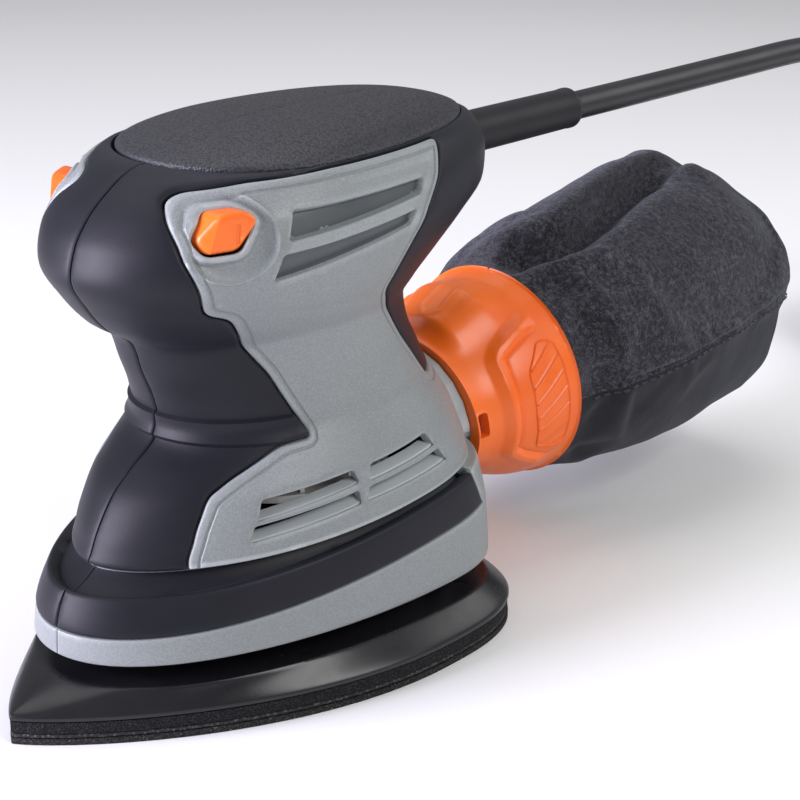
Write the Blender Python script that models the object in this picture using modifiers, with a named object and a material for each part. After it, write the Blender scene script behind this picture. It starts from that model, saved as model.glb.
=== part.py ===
"""A detail mouse sander: a palm-sized orbital sander with a delta-shaped pad.

Metres, +Z up. The origin is on the motor's axis, at the working face of the sanding sheet. The
nose points along -X, the cord and the dust bag leave along +X, and -Y is the tool's left side.
"""

import math

import bmesh
import bpy
from mathutils import Vector

MM = 0.001
GAP = 0.3 * MM  # between pieces that touch
SEAM = 0.15 * MM  # from the middle plane to each half of the housing
TURN_STEPS = 22
WALL_STEPS = 7  # points along the front, and along the rear, of half an outline

# The pad: flat outlines are (nose, tail, half width, place of the widest point, three exponents).
PAD_EDGE = (-85.0, 55.0, 49.6, 9.7, 1.883, 1.164, 3.1)
PAD_TOP = (-70.5, 49.0, 43.9, 14.0, 1.9, 2.1, 3.1)
SHEET_Z = (0.0, 1.5)
HOOK_Z = (1.8, 2.6)
FOAM_Z = (2.9, 5.7)
PLATEN_Z = (6.0, 12.5)
DUST_HOLE_RADIUS = 1.8
LEG_RADIUS = 3.6
LEG_Z = (10.3, 35.5)
LEG_PLACES = ((-40.0, 13.0), (-40.0, -13.0), (31.0, 27.0), (31.0, -27.0))
DUST_HOLES = ((-44.0, 0.0), (-20.0, 24.0), (-20.0, -24.0), (22.0, 30.0), (22.0, -30.0), (40.0, 0.0))

# The motor and its drive.
ORBIT = 1.0  # the offset of the pad's axis from the motor's axis
SHAFT_RADIUS = 4.0
SHAFT_Z = (26.6, 123.5)
JOURNAL_RADIUS = 6.0
JOURNAL_Z = (14.2, 25.6)
HUB_RADIUS = 7.5
HUB_TOP = 35.2
WEIGHT_RADIUS = 19.0
WEIGHT_Z = (28.0, 34.5)
PAD_BEARING_Z = (15.5, 23.5)
PAD_BEARING_RADIUS = 13.0
LOWER_BEARING_Z = (37.3, 43.3)
LOWER_BEARING_RADIUS = 11.0
UPPER_BEARING_Z = (115.2, 120.2)
UPPER_BEARING_RADIUS = 8.0
FAN_Z = (45.6, 47.4, 56.6)  # under the disc, over the disc, top of the blades
FAN_RADIUS = 29.0
BLADES = 13
STATOR_Z = (66.0, 100.0)
STATOR_RADIUS = 20.8
STATOR_BORE = 13.4
ARMATURE_RADIUS = 12.7
ARMATURE_Z = (67.5, 98.5)
COMMUTATOR_RADIUS = 9.0
COMMUTATOR_Z = (103.8, 113.0)
BRUSH_Z = (105.6, 111.4)

# The body's outer surface, from the skirt up. Each level is its height at the nose, how much
# higher it is at the tail, and a flat outline as above.
SKIRT = (
    (17.7, 0.0, -70.9, 51.5, 42.9, 14.0, 1.9, 2.1, 3.1),
    (24.2, 9.1, -70.4, 51.8, 42.0, 12.0, 1.9, 2.0, 3.0),
    (33.2, 9.6, -66.9, 51.0, 40.6, 9.0, 1.9, 1.8, 2.9),
)
BODY = (
    (37.6, 6.0, -60.2, 51.2, 38.6, 7.0, 1.9, 1.75, 2.6),
    (44.0, 3.6, -57.0, 51.0, 37.8, 7.0, 1.9, 1.8, 2.5),
    (52.0, 1.0, -51.6, 50.4, 36.6, 7.0, 1.95, 1.85, 2.3),
    (62.5, 0.0, -38.6, 47.6, 31.8, 6.0, 2.1, 2.1, 2.1),
    (72.0, 0.0, -38.3, 43.0, 28.5, 4.0, 2.2, 2.2, 2.0),
    (80.0, 0.0, -41.5, 39.0, 27.5, 2.0, 2.2, 2.2, 2.0),
    (87.0, 0.0, -43.9, 37.5, 28.0, 0.0, 2.2, 2.2, 2.0),
    (98.0, 0.0, -56.1, 50.0, 33.5, -6.0, 2.2, 2.2, 2.0),
    (106.0, 0.0, -60.4, 61.0, 36.5, -8.0, 2.2, 2.2, 2.0),
    (112.5, 0.0, -58.8, 68.0, 38.0, -8.0, 2.15, 2.15, 2.0),
    (119.0, 0.0, -54.3, 69.0, 37.5, -8.0, 2.1, 2.1, 2.0),
    (124.0, 0.0, -48.2, 67.0, 35.6, -6.0, 2.1, 2.1, 2.0),
    (127.5, 0.0, -42.0, 63.5, 33.3, -5.0, 2.1, 2.1, 2.0),
)
COVER_THICKNESS = 2.0
HOUSING_INSET = 2.3
HOUSING_THICKNESS = 2.5
BUMPER_THICKNESS = 3.0
DOME = (
    (127.8, 0.0, -41.4, 62.8, 32.9, -4.0, 2.1, 2.1, 2.0),
    (129.6, 0.0, -38.2, 60.0, 31.0, -3.0, 2.1, 2.1, 2.0),
    (131.6, 0.0, -29.5, 53.0, 26.6, 2.0, 2.1, 2.1, 2.0),
    (133.6, 0.0, -15.0, 42.0, 18.0, 9.0, 2.1, 2.1, 2.0),
    (134.4, 0.0, -2.0, 28.0, 9.0, 13.0, 2.1, 2.1, 2.0),
)
DOME_THICKNESS = 2.5

# The grey side panel, in the plane of X and Z, and its slots.
PANEL = (
    (-47.3, 30.0), (-47.3, 38.3), (-44.0, 46.3), (-40.1, 53.1), (-33.9, 56.6), (-21.5, 62.4),
    (-13.8, 63.2), (-22.7, 79.5), (-37.2, 96.7), (-43.2, 98.7), (-46.4, 106.2), (-48.6, 112.0),
    (-48.2, 119.6), (-45.4, 122.9), (-42.0, 124.3), (-31.0, 125.2), (-11.5, 126.2), (27.8, 126.2),
    (23.4, 119.2), (18.6, 113.5), (12.4, 102.3), (9.4, 95.0), (10.0, 93.0), (23.8, 76.3),
    (33.0, 65.2), (70.0, 65.2), (70.0, 30.0),
)
LOWER_SLOTS = (
    ((-30.1, 51.7), (-6.8, 54.2), (-5.7, 50.8), (-32.0, 46.9)),
    ((-32.8, 45.8), (-6.0, 49.0), (-5.9, 45.6), (-34.6, 42.0)),
    ((-1.6, 54.4), (19.3, 56.2), (21.6, 52.4), (-2.8, 50.4)),
    ((-2.9, 49.2), (23.0, 51.2), (25.6, 47.6), (-4.2, 45.8)),
)
UPPER_SLOTS = (
    ((-24.9, 121.0), (17.3, 121.0), (15.9, 117.6), (-27.0, 114.6)),
    ((-28.7, 111.4), (13.7, 114.0), (11.2, 110.6), (-30.3, 105.6)),
)
AIR_WINDOW = ((-35.0, 41.0), (-33.0, 53.0), (24.0, 57.0), (27.0, 46.5))
BUTTON = ((-46.2, 116.3), (-41.7, 122.0), (-36.1, 122.5), (-33.7, 120.1), (-38.0, 113.6), (-44.8, 113.1))
BUTTON_FACE = (29.4, -40.0, 0.52)  # |y| of its face at this x, and its slope along x
SWITCH_AXIS = (-40.0, 118.0)
SWITCH_SHIFT = 0.8  # the bar stands this far towards the right side when the tool is on
SCREWS = ((-51.2, 106.0), (49.0, 108.0), (-46.5, 45.0), (-30.5, 74.0), (28.0, 84.0))

# The dust port, and the collar and bag that slide off it along its axis.
PORT_TILT = math.radians(6.2)
PORT_ORIGIN = Vector((86.8, 0.0, 46.5)) * MM
PORT_BORE = 14.5
SPIGOT_RADIUS = 17.8
ROOT_RADIUS = 21.4

# Sections across the port's axis: place along it, height above it, depth below it, half width.
COLLAR_ROWS = (
    (-35.0, 22.0, 18.0, 23.2), (-30.0, 22.2, 18.6, 24.2), (-24.0, 24.0, 21.0, 26.0),
    (-16.0, 27.6, 25.2, 28.0), (-8.0, 29.4, 28.4, 29.4), (0.0, 30.2, 30.0, 30.2),
)
BAG_ROWS = (
    (0.3, 30.3, 30.6, 30.3), (6.0, 31.0, 32.0, 31.0), (16.0, 34.0, 36.0, 36.0), (40.0, 37.0, 39.0, 39.5),
    (60.0, 38.5, 41.0, 40.0), (82.0, 38.0, 42.0, 38.5), (97.0, 30.0, 40.0, 35.0), (103.0, 18.0, 30.0, 27.0),
)

# The cord: a free run to a coil of six turns, then a short tail with the plug.
CORD_RADIUS = 4.0
SLEEVE_RADIUS = 5.7
SLEEVE_X = (54.2, 57.2, 117.0)  # the ends of the flange inside, and of the sleeve
CORD_Z = 116.8
COIL_CENTRE = (326.0, -26.0)
COIL_RADIUS = 44.0
COIL_WIDTH = 16.6
COIL_Z = (0.1, 24.6)

# Points that the cord's middle line passes, from inside the sleeve to the top of the coil, and
# from the foot of the coil to the plug.
ROUTE = (
    (62.0, 0.0, 116.8), (117.0, 0.0, 116.8), (160.0, 0.0, 116.8), (205.0, 0.0, 116.9), (240.0, 0.0, 116.7),
    (268.0, 0.6, 113.6), (294.0, 2.4, 104.0), (317.0, 4.6, 89.0), (336.0, 5.8, 71.5), (351.0, 3.6, 54.5),
    (362.5, -3.5, 40.5), (369.0, -14.5, 32.0), (370.2, -27.5, 29.0), (367.0, -42.5, 29.0),
)
TAIL_ROUTE = (
    (356.2, 22.2, 4.3), (370.0, 22.2, 4.4), (385.0, 18.9, 5.3), (396.8, 9.2, 7.2), (402.0, -4.0, 8.5),
    (402.0, -12.0, 8.6),
)

# The plug's sections along its length: place, half width, half height; then its place and turn.
PLUG_ROWS = (
    (0.0, 5.0, 5.0), (12.0, 6.5, 5.5), (17.0, 12.0, 7.0), (25.0, 17.5, 8.0), (38.0, 17.5, 8.0),
)
PIN_SPACING = 19.0
PIN_LENGTH = 19.0
PIN_RADIUS = 2.0
PLUG_PLACE = (402.0, -12.6, 8.6)
PLUG_TURN = math.radians(-90.0)

ORANGE = ((0.80, 0.16, 0.02), 0.38, 0.0)
GREY = ((0.23, 0.25, 0.26), 0.45, 0.1)
BLACK = ((0.018, 0.018, 0.024), 0.62, 0.0)
STEEL = ((0.55, 0.55, 0.56), 0.3, 1.0)
COPPER = ((0.72, 0.30, 0.12), 0.35, 1.0)
CARBON = ((0.03, 0.03, 0.03), 0.8, 0.0)
FABRIC = ((0.035, 0.035, 0.04), 0.95, 0.0)
NYLON = ((0.75, 0.74, 0.68), 0.5, 0.0)
GRIT = ((0.03, 0.028, 0.028), 0.95, 0.0)
BRASS = ((0.70, 0.52, 0.22), 0.3, 1.0)


def clear_scene():
    for item in list(bpy.data.objects):
        bpy.data.objects.remove(item)


def collection(name):
    made = bpy.data.collections.new(name)
    bpy.context.scene.collection.children.link(made)
    return made


def paint(item, look):
    colour, roughness, metallic = look
    material = bpy.data.materials.new(item.name)
    material.use_nodes = True
    shader = material.node_tree.nodes["Principled BSDF"]
    shader.inputs["Base Color"].default_value = (*colour, 1.0)
    shader.inputs["Roughness"].default_value = roughness
    shader.inputs["Metallic"].default_value = metallic
    material.diffuse_color = (*colour, 1.0)
    item.data.materials.append(material)


def from_bmesh(name, mesh, look=None):
    """A part with this look, or a cutter where it has none."""
    bmesh.ops.recalc_face_normals(mesh, faces=mesh.faces)
    data = bpy.data.meshes.new(name)
    mesh.to_mesh(data)
    mesh.free()
    item = bpy.data.objects.new(name, data)
    if look is None:
        CUTTERS.objects.link(item)
        item.hide_render = True
        item.display_type = "WIRE"
    else:
        PARTS.objects.link(item)
        paint(item, look)
    return item


def box(name, centre, size, look=None):
    mesh = bmesh.new()
    bmesh.ops.create_cube(mesh, size=1.0)
    bmesh.ops.scale(mesh, vec=Vector(size) * MM, verts=mesh.verts)
    bmesh.ops.translate(mesh, vec=Vector(centre) * MM, verts=mesh.verts)
    return from_bmesh(name, mesh, look)


def cylinder(name, centre, radius, z, look=None, steps=TURN_STEPS):
    """An upright cylinder between two heights."""
    mesh = bmesh.new()
    bmesh.ops.create_cone(
        mesh, cap_ends=True, segments=steps, radius1=radius * MM, radius2=radius * MM,
        depth=(z[1] - z[0]) * MM,
    )
    middle = Vector((centre[0], centre[1], (z[0] + z[1]) / 2)) * MM
    bmesh.ops.translate(mesh, vec=middle, verts=mesh.verts)
    return from_bmesh(name, mesh, look)


def crosswise(name, place, radius, y, look=None, steps=10):
    """A cylinder along Y at this x and z."""
    item = cylinder(name, (0.0, 0.0), radius, (0.0, y[1] - y[0]), look, steps)
    item.rotation_euler = (-math.pi / 2, 0.0, 0.0)
    item.location = Vector((place[0], y[0], place[1])) * MM
    return item


def turned(name, profile, look=None, steps=TURN_STEPS, centre=(0.0, 0.0), ring=True):
    """A profile of (radius, z) turned about an upright axis, down its outer side first."""
    data = bpy.data.meshes.new(name)
    points = [(r * MM, 0.0, z * MM) for r, z in profile]
    edges = [(i, i + 1) for i in range(len(points) - 1)]
    if ring:
        edges.append((len(points) - 1, 0))
    data.from_pydata(points, edges, [])
    item = bpy.data.objects.new(name, data)
    item.location = (centre[0] * MM, centre[1] * MM, 0.0)
    if look is None:
        CUTTERS.objects.link(item)
        item.hide_render = True
        item.display_type = "WIRE"
    else:
        PARTS.objects.link(item)
        paint(item, look)
    turn = item.modifiers.new("turn", "SCREW")
    turn.angle = 2 * math.pi
    turn.steps = steps
    turn.render_steps = steps
    turn.use_merge_vertices = True
    turn.merge_threshold = 0.00001
    turn.use_smooth_shade = True
    return item


def tube_ring(name, inner, outer, z, look=None, centre=(0.0, 0.0), steps=TURN_STEPS):
    profile = ((outer, z[1]), (outer, z[0]), (inner, z[0]), (inner, z[1]))
    return turned(name, profile, look, steps, centre)


def prism(name, outline, y, look=None):
    """An outline in X and Z, pushed along Y between two places."""
    mesh = bmesh.new()
    near = [mesh.verts.new((x * MM, y[0] * MM, z * MM)) for x, z in outline]
    far = [mesh.verts.new((x * MM, y[1] * MM, z * MM)) for x, z in outline]
    close(mesh, (near, far))
    return from_bmesh(name, mesh, look)


def close(mesh, loops):
    """Quads between loops of points that follow each other, and a face over each end."""
    for lower, upper in zip(loops, loops[1:]):
        count = len(lower)
        for i in range(count):
            j = (i + 1) % count
            mesh.faces.new((lower[i], lower[j], upper[j], upper[i]))
    mesh.faces.new(loops[0])
    mesh.faces.new(loops[-1])


def extruded(name, outline, z, look=None):
    """An outline in X and Y, pushed up between two heights."""
    mesh = bmesh.new()
    loops = [[mesh.verts.new((x * MM, y * MM, h * MM)) for x, y in outline] for h in z]
    close(mesh, loops)
    return from_bmesh(name, mesh, look)


def boolean(item, tool, operation="DIFFERENCE"):
    change = item.modifiers.new(tool.name, "BOOLEAN")
    change.operation = operation
    change.solver = "EXACT"
    change.object = tool
    return item


def grown(outline, distance):
    """The outline moved outwards by a distance, corners kept."""
    area = sum(a[0] * b[1] - b[0] * a[1] for a, b in zip(outline, outline[1:] + outline[:1]))
    turn = 1.0 if area > 0 else -1.0
    result = []
    for before, here, after in zip(outline[-1:] + outline[:-1], outline, outline[1:] + outline[:1]):
        first = Vector((here[1] - before[1], before[0] - here[0])).normalized() * turn
        second = Vector((after[1] - here[1], here[0] - after[0])).normalized() * turn
        corner = (first + second) / (1.0 + first.dot(second))
        result.append((here[0] + corner.x * distance, here[1] + corner.y * distance))
    return result


def half_outline(shape, inset=0.0, steps=WALL_STEPS):
    """Points of half a flat outline, from the nose to the tail, with y from 0 up and back to 0."""
    nose, tail, half, widest, p, q, r = shape
    nose, tail, half = nose + inset, tail - inset, half - inset
    points = []
    for i in range(steps + 1):
        u = math.cos(i / steps * math.pi / 2)
        y = half * max(0.0, 1.0 - u**p) ** (1.0 / q)
        points.append((widest - (widest - nose) * u, y))
    for i in range(1, steps + 1):
        v = math.sin(i / steps * math.pi / 2)
        y = half * max(0.0, 1.0 - v**r) ** (1.0 / r)
        points.append((widest + (tail - widest) * v, y))
    return points


def level_points(level, side, inset, steps=WALL_STEPS):
    """Half a level of the body on one side: -1 is the left side and 1 is the right side."""
    z, rise, nose, tail = level[:4]
    points = []
    for x, y in half_outline(level[2:], inset, steps):
        along = min(1.0, max(0.0, (x - nose) / (tail - nose)))
        lift = rise * along * along * (3.0 - 2.0 * along)
        points.append(Vector((x, side * max(y, SEAM / MM), z + lift)) * MM)
    return points


def half_shell(name, walls, side, look):
    """Half a shell: each wall is (level, inset of the outer face, inset of the inner face)."""
    mesh = bmesh.new()
    outer = [[mesh.verts.new(p) for p in level_points(w[0], side, w[1])] for w in walls]
    inner = [[mesh.verts.new(p) for p in level_points(w[0], side, w[2])] for w in walls]
    count = len(outer[0])
    for i in range(len(walls) - 1):
        for j in range(count - 1):
            for grid in (outer, inner):
                mesh.faces.new((grid[i][j], grid[i][j + 1], grid[i + 1][j + 1], grid[i + 1][j]))
        for j in (0, count - 1):
            mesh.faces.new((outer[i][j], outer[i + 1][j], inner[i + 1][j], inner[i][j]))
    for i in (0, len(walls) - 1):
        for j in range(count - 1):
            mesh.faces.new((outer[i][j], outer[i][j + 1], inner[i][j + 1], inner[i][j]))
    return from_bmesh(name, mesh, look)


def full_loop(mesh, shape, z, inset=0.0, steps=9):
    """A closed flat outline at a height, as points of a mesh."""
    half = half_outline(shape, inset, steps)
    loop = half + [(x, -y) for x, y in half[-2:0:-1]]
    return [mesh.verts.new((x * MM, y * MM, z * MM)) for x, y in loop]


def stacked(name, rows, look):
    """A solid through flat outlines, each (shape, inset, height)."""
    mesh = bmesh.new()
    close(mesh, [full_loop(mesh, shape, z, inset) for shape, inset, z in rows])
    return from_bmesh(name, mesh, look)


def ride(items, axis):
    for item in items:
        item.parent = axis
        item.matrix_parent_inverse = axis.matrix_world.inverted()


def axis_empty(name, place):
    empty = bpy.data.objects.new(name, None)
    empty.location = place
    PARTS.objects.link(empty)
    bpy.context.view_layer.update()
    return empty


def pad_pieces():
    """The sanding sheet, hook layer, foam and platen, with dust holes through them all."""
    sheet = stacked(
        "sanding_sheet", [(PAD_EDGE, 0.4, SHEET_Z[0]), (PAD_EDGE, 0.0, SHEET_Z[1])], GRIT)
    hook = stacked("hook_layer", [(PAD_EDGE, 0.6, HOOK_Z[0]), (PAD_EDGE, 0.6, HOOK_Z[1])], NYLON)
    foam = stacked("pad_foam", [(PAD_EDGE, 0.5, FOAM_Z[0]), (PAD_EDGE, 0.3, FOAM_Z[1])], BLACK)
    platen = stacked(
        "platen",
        [(PAD_EDGE, 0.0, PLATEN_Z[0]), (PAD_EDGE, 0.0, PLATEN_Z[0] + 1.2), (PAD_TOP, 0.0, PLATEN_Z[1])],
        BLACK)
    boss = cylinder("platen_boss", (ORBIT, 0.0), PAD_BEARING_RADIUS + 3.4, (11.0, 24.2))
    boolean(platen, boss, "UNION")
    seat = cylinder(
        "bearing_seat", (ORBIT, 0.0), PAD_BEARING_RADIUS + GAP / MM, (PAD_BEARING_Z[0] - 0.3, 30.0))
    boolean(platen, seat)
    recess = cylinder("screw_recess", (ORBIT, 0.0), 9.0, (7.6, 20.0))
    boolean(platen, recess)
    for i, (x, y) in enumerate(DUST_HOLES):
        hole = cylinder(f"dust_hole_{i + 1}", (x, y), DUST_HOLE_RADIUS, (-1.0, 20.0), steps=8)
        for layer in (sheet, hook, foam, platen):
            boolean(layer, hole)
    for i, (x, y) in enumerate(LEG_PLACES):
        socket = cylinder(f"leg_socket_{i + 1}", (x, y), LEG_RADIUS + 0.4, (LEG_Z[0] - 0.3, 20.0), steps=12)
        boolean(platen, socket)
    bearing = tube_ring(
        "pad_bearing", JOURNAL_RADIUS + GAP / MM, PAD_BEARING_RADIUS, PAD_BEARING_Z, STEEL, (ORBIT, 0.0))
    return [sheet, hook, foam, platen, bearing]


def flexible_legs():
    """Four rubber legs that hold the platen to the housing and let it orbit without turning."""
    waist = LEG_RADIUS - 0.9
    profile = (
        (0.0, LEG_Z[1]), (LEG_RADIUS, LEG_Z[1]), (LEG_RADIUS, LEG_Z[1] - 3.0), (waist, LEG_Z[1] - 5.0),
        (waist, LEG_Z[0] + 5.0), (LEG_RADIUS, LEG_Z[0] + 3.0), (LEG_RADIUS, LEG_Z[0]), (0.0, LEG_Z[0]))
    for i, place in enumerate(LEG_PLACES):
        turned(f"flexible_leg_{i + 1}", profile, BLACK, 10, place, ring=False)


def rotor_pieces():
    """Everything that turns with the motor's shaft."""
    shaft = turned(
        "rotor_shaft",
        ((0.0, SHAFT_Z[1]), (3.4, SHAFT_Z[1]), (SHAFT_RADIUS, SHAFT_Z[1] - 0.6),
         (SHAFT_RADIUS, SHAFT_Z[0]), (0.0, SHAFT_Z[0])),
        STEEL, ring=False)
    fit = SHAFT_RADIUS + GAP / MM
    slot = []
    for i in range(12):
        for turn, radius in ((-0.36, 12.7), (0.36, 12.7), (0.42, 9.2), (0.58, 9.2)):
            angle = (i + turn) / 12 * 2 * math.pi
            slot.append((radius * math.cos(angle), radius * math.sin(angle)))
    core = extruded("armature_core", slot, ARMATURE_Z, STEEL)
    boolean(core, cylinder("core_bore", (0.0, 0.0), fit, (60.0, 110.0), steps=20))
    low = ARMATURE_Z[0] - GAP / MM
    high = ARMATURE_Z[1] + GAP / MM
    lower_winding = turned(
        "armature_winding_lower",
        ((11.6, low), (12.0, low - 2.0), (9.0, low - 5.0), (fit + 0.4, low - 5.0), (fit + 0.4, low)),
        COPPER, 24)
    upper_winding = turned(
        "armature_winding_upper",
        ((9.0, high + 4.6), (12.0, high + 2.0), (11.6, high), (fit + 0.4, high), (fit + 0.4, high + 4.6)),
        COPPER, 24)
    commutator = tube_ring("commutator", fit, COMMUTATOR_RADIUS, COMMUTATOR_Z, COPPER)
    fan = cooling_fan(fit)
    eccentric = eccentric_weight(fit)
    head = 10.2
    screw = turned(
        "pad_screw",
        ((0.0, 22.6), (1.9, 22.6), (1.9, head), (4.0, head), (4.0, head - 2.4), (0.0, head - 2.4)),
        STEEL, 16, (ORBIT, 0.0), ring=False)
    washer = tube_ring("pad_washer", 2.2, 7.6, (head + 0.3, head + 1.8), STEEL, (ORBIT, 0.0))
    return [shaft, core, lower_winding, upper_winding, commutator, fan, eccentric, screw, washer]


def cooling_fan(bore):
    """A disc with radial blades on its upper face."""
    fan = extruded("cooling_fan", blade_outline(), (FAN_Z[1] - 0.5, FAN_Z[2]), NYLON)
    boolean(fan, cylinder("fan_disc", (0.0, 0.0), FAN_RADIUS, FAN_Z[:2], steps=26), "UNION")
    boolean(fan, cylinder("fan_bore", (0.0, 0.0), bore, (40.0, 70.0), steps=20))
    return fan


def blade_outline():
    """The hub and its swept blades, seen from above."""
    points = []
    for i in range(BLADES):
        middle = 2 * math.pi * i / BLADES
        for turn, radius in ((-0.10, 7.5), (-0.17, FAN_RADIUS - 1.2), (-0.13, FAN_RADIUS - 1.2), (0.08, 7.5)):
            angle = middle + turn
            points.append((radius * math.cos(angle), radius * math.sin(angle)))
    return points


def eccentric_weight(bore):
    """The hub on the shaft, its offset journal below, and a half disc that balances the pad."""
    piece = cylinder("eccentric_weight", (0.0, 0.0), HUB_RADIUS, (JOURNAL_Z[1] - 0.5, HUB_TOP), STEEL)
    boolean(piece, cylinder("journal", (ORBIT, 0.0), JOURNAL_RADIUS, (JOURNAL_Z[0], JOURNAL_Z[1])), "UNION")
    half = [(-2.0, -WEIGHT_RADIUS)]
    for i in range(17):
        angle = math.radians(96.0 + i / 16 * 168.0)
        half.append((WEIGHT_RADIUS * math.cos(angle), WEIGHT_RADIUS * math.sin(angle)))
    boolean(piece, extruded("half_disc", half[1:], WEIGHT_Z), "UNION")
    boolean(piece, cylinder("hub_bore", (0.0, 0.0), bore, (SHAFT_Z[0] - 0.4, 40.0), steps=20))
    boolean(piece, cylinder("screw_bore", (ORBIT, 0.0), 2.2, (10.0, 23.2), steps=12))
    return piece


def motor_pieces():
    """The stator with its two field coils, the brushes in their holders, and the bearings."""
    stator = cylinder("motor_stator", (0.0, 0.0), STATOR_RADIUS, STATOR_Z, STEEL, 24)
    boolean(stator, cylinder("stator_bore", (0.0, 0.0), STATOR_BORE, (60.0, 110.0), steps=28))
    reach = (15.4, 18.2)
    for side, word in ((-1, "left"), (1, "right")):
        for end in (-1, 1):
            window = box(
                f"coil_window_{word}_{end}", (end * 10.6, side * sum(reach) / 2, 83.0), (4.6, 3.4, 60.0))
            boolean(stator, window)
        coil = box(
            f"field_coil_{word}", (0.0, side * sum(reach) / 2, 83.0), (25.2, reach[1] - reach[0], 42.0), COPPER)
        boolean(coil, box(f"coil_inside_{word}", (0.0, side * 17.0, 83.0), (17.2, 8.0, 34.8)))
    for end, word in ((-1, "front"), (1, "rear")):
        middle = sum(BRUSH_Z) / 2
        box(f"carbon_brush_{word}", (end * 12.9, 0.0, middle), (7.0, 5.0, BRUSH_Z[1] - BRUSH_Z[0]), CARBON)
        holder = box(f"brush_holder_{word}", (end * 16.4, 0.0, middle), (11.6, 8.6, 9.4), BRASS)
        boolean(holder, box(f"brush_slot_{word}", (end * 14.4, 0.0, middle), (12.2, 5.6, 6.4)))
        brush_spring(word, end, middle)
    tube_ring("upper_bearing", SHAFT_RADIUS + 0.3, UPPER_BEARING_RADIUS, UPPER_BEARING_Z, STEEL)
    tube_ring("lower_bearing", SHAFT_RADIUS + 0.3, LOWER_BEARING_RADIUS, LOWER_BEARING_Z, STEEL)
    bracket = box("upper_bearing_bracket", (0.0, 0.0, 118.0), (30.0, 50.0, 6.4), BLACK)
    seat = cylinder(
        "upper_seat", (0.0, 0.0), UPPER_BEARING_RADIUS + 0.3, (UPPER_BEARING_Z[0] - 0.3, 130.0), steps=24)
    boolean(bracket, seat)
    boolean(bracket, cylinder("upper_shaft_hole", (0.0, 0.0), 5.2, (100.0, 118.0), steps=20))


def brush_spring(word, end, height):
    """A small coil spring that pushes a brush onto the commutator."""
    data = bpy.data.curves.new(f"brush_spring_{word}", "CURVE")
    data.dimensions = "3D"
    data.bevel_depth = 0.25 * MM
    data.bevel_resolution = 0
    data.use_fill_caps = True
    spline = data.splines.new("POLY")
    turns, each = 3, 8
    spline.points.add(turns * each)
    for i in range(turns * each + 1):
        angle = i / each * 2 * math.pi
        x = end * (16.9 + 3.0 * i / (turns * each))
        place = Vector((x, 1.7 * math.cos(angle), height + 1.7 * math.sin(angle))) * MM
        spline.points[i].co = (*place, 1.0)
    item = bpy.data.objects.new(f"brush_spring_{word}", data)
    PARTS.objects.link(item)
    paint(item, STEEL)


def bearing_plate():
    """The plate across the housing that carries the lower bearing and the legs."""
    mesh = bmesh.new()
    outline = BODY[0][2:]
    inset = HOUSING_INSET + HOUSING_THICKNESS + 1.2
    close(mesh, [full_loop(mesh, outline, z, inset) for z in (35.9, 39.0)])
    plate = from_bmesh("lower_bearing_plate", mesh, BLACK)
    boss = cylinder("plate_boss", (0.0, 0.0), LOWER_BEARING_RADIUS + 3.0, (38.0, 43.6))
    boolean(plate, boss, "UNION")
    seat = cylinder(
        "lower_seat", (0.0, 0.0), LOWER_BEARING_RADIUS + 0.3, (LOWER_BEARING_Z[0] - 0.3, 50.0))
    boolean(plate, seat)
    boolean(plate, port_plug("port_way_plate", SPIGOT_RADIUS + 0.5, -47.5, -30.0))
    boolean(plate, cylinder("lower_shaft_hole", (0.0, 0.0), 8.6, (30.0, 40.0), steps=24))
    for i, angle in enumerate((60.0, 180.0, 300.0)):
        turn = math.radians(angle)
        place = (22.5 * math.cos(turn), 22.5 * math.sin(turn))
        boolean(plate, cylinder(f"dust_way_{i + 1}", place, 5.0, (30.0, 50.0), steps=12))


def port_cutters():
    """The way through the walls for the dust port: wide above the bumper, narrow behind it."""
    narrow = port_plug("port_way_narrow", SPIGOT_RADIUS + 0.9, -62.0, -34.0)
    wide = port_plug("port_way_wide", ROOT_RADIUS + 0.4, -45.0, -30.0)
    boolean(wide, box("port_way_top", (50.0, 0.0, 62.2), (60.0, 60.0, 40.0)), "INTERSECT")
    return narrow, wide


def port_plug(name, radius, start, end):
    """A solid cylinder along the port, to cut with."""
    return along_port(name, ((end, 0.0), (end, radius), (start, radius), (start, 0.0)), steps=24)


def along_port(name, profile, look=None, steps=TURN_STEPS, ring=False):
    """A profile of (place along the port, radius), turned about the port's axis."""
    points = [(r, s) for s, r in profile]
    item = turned(name, points, look, steps, ring=ring)
    item.location = PORT_ORIGIN
    item.rotation_euler = (0.0, math.pi / 2 - PORT_TILT, 0.0)
    return item


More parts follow.
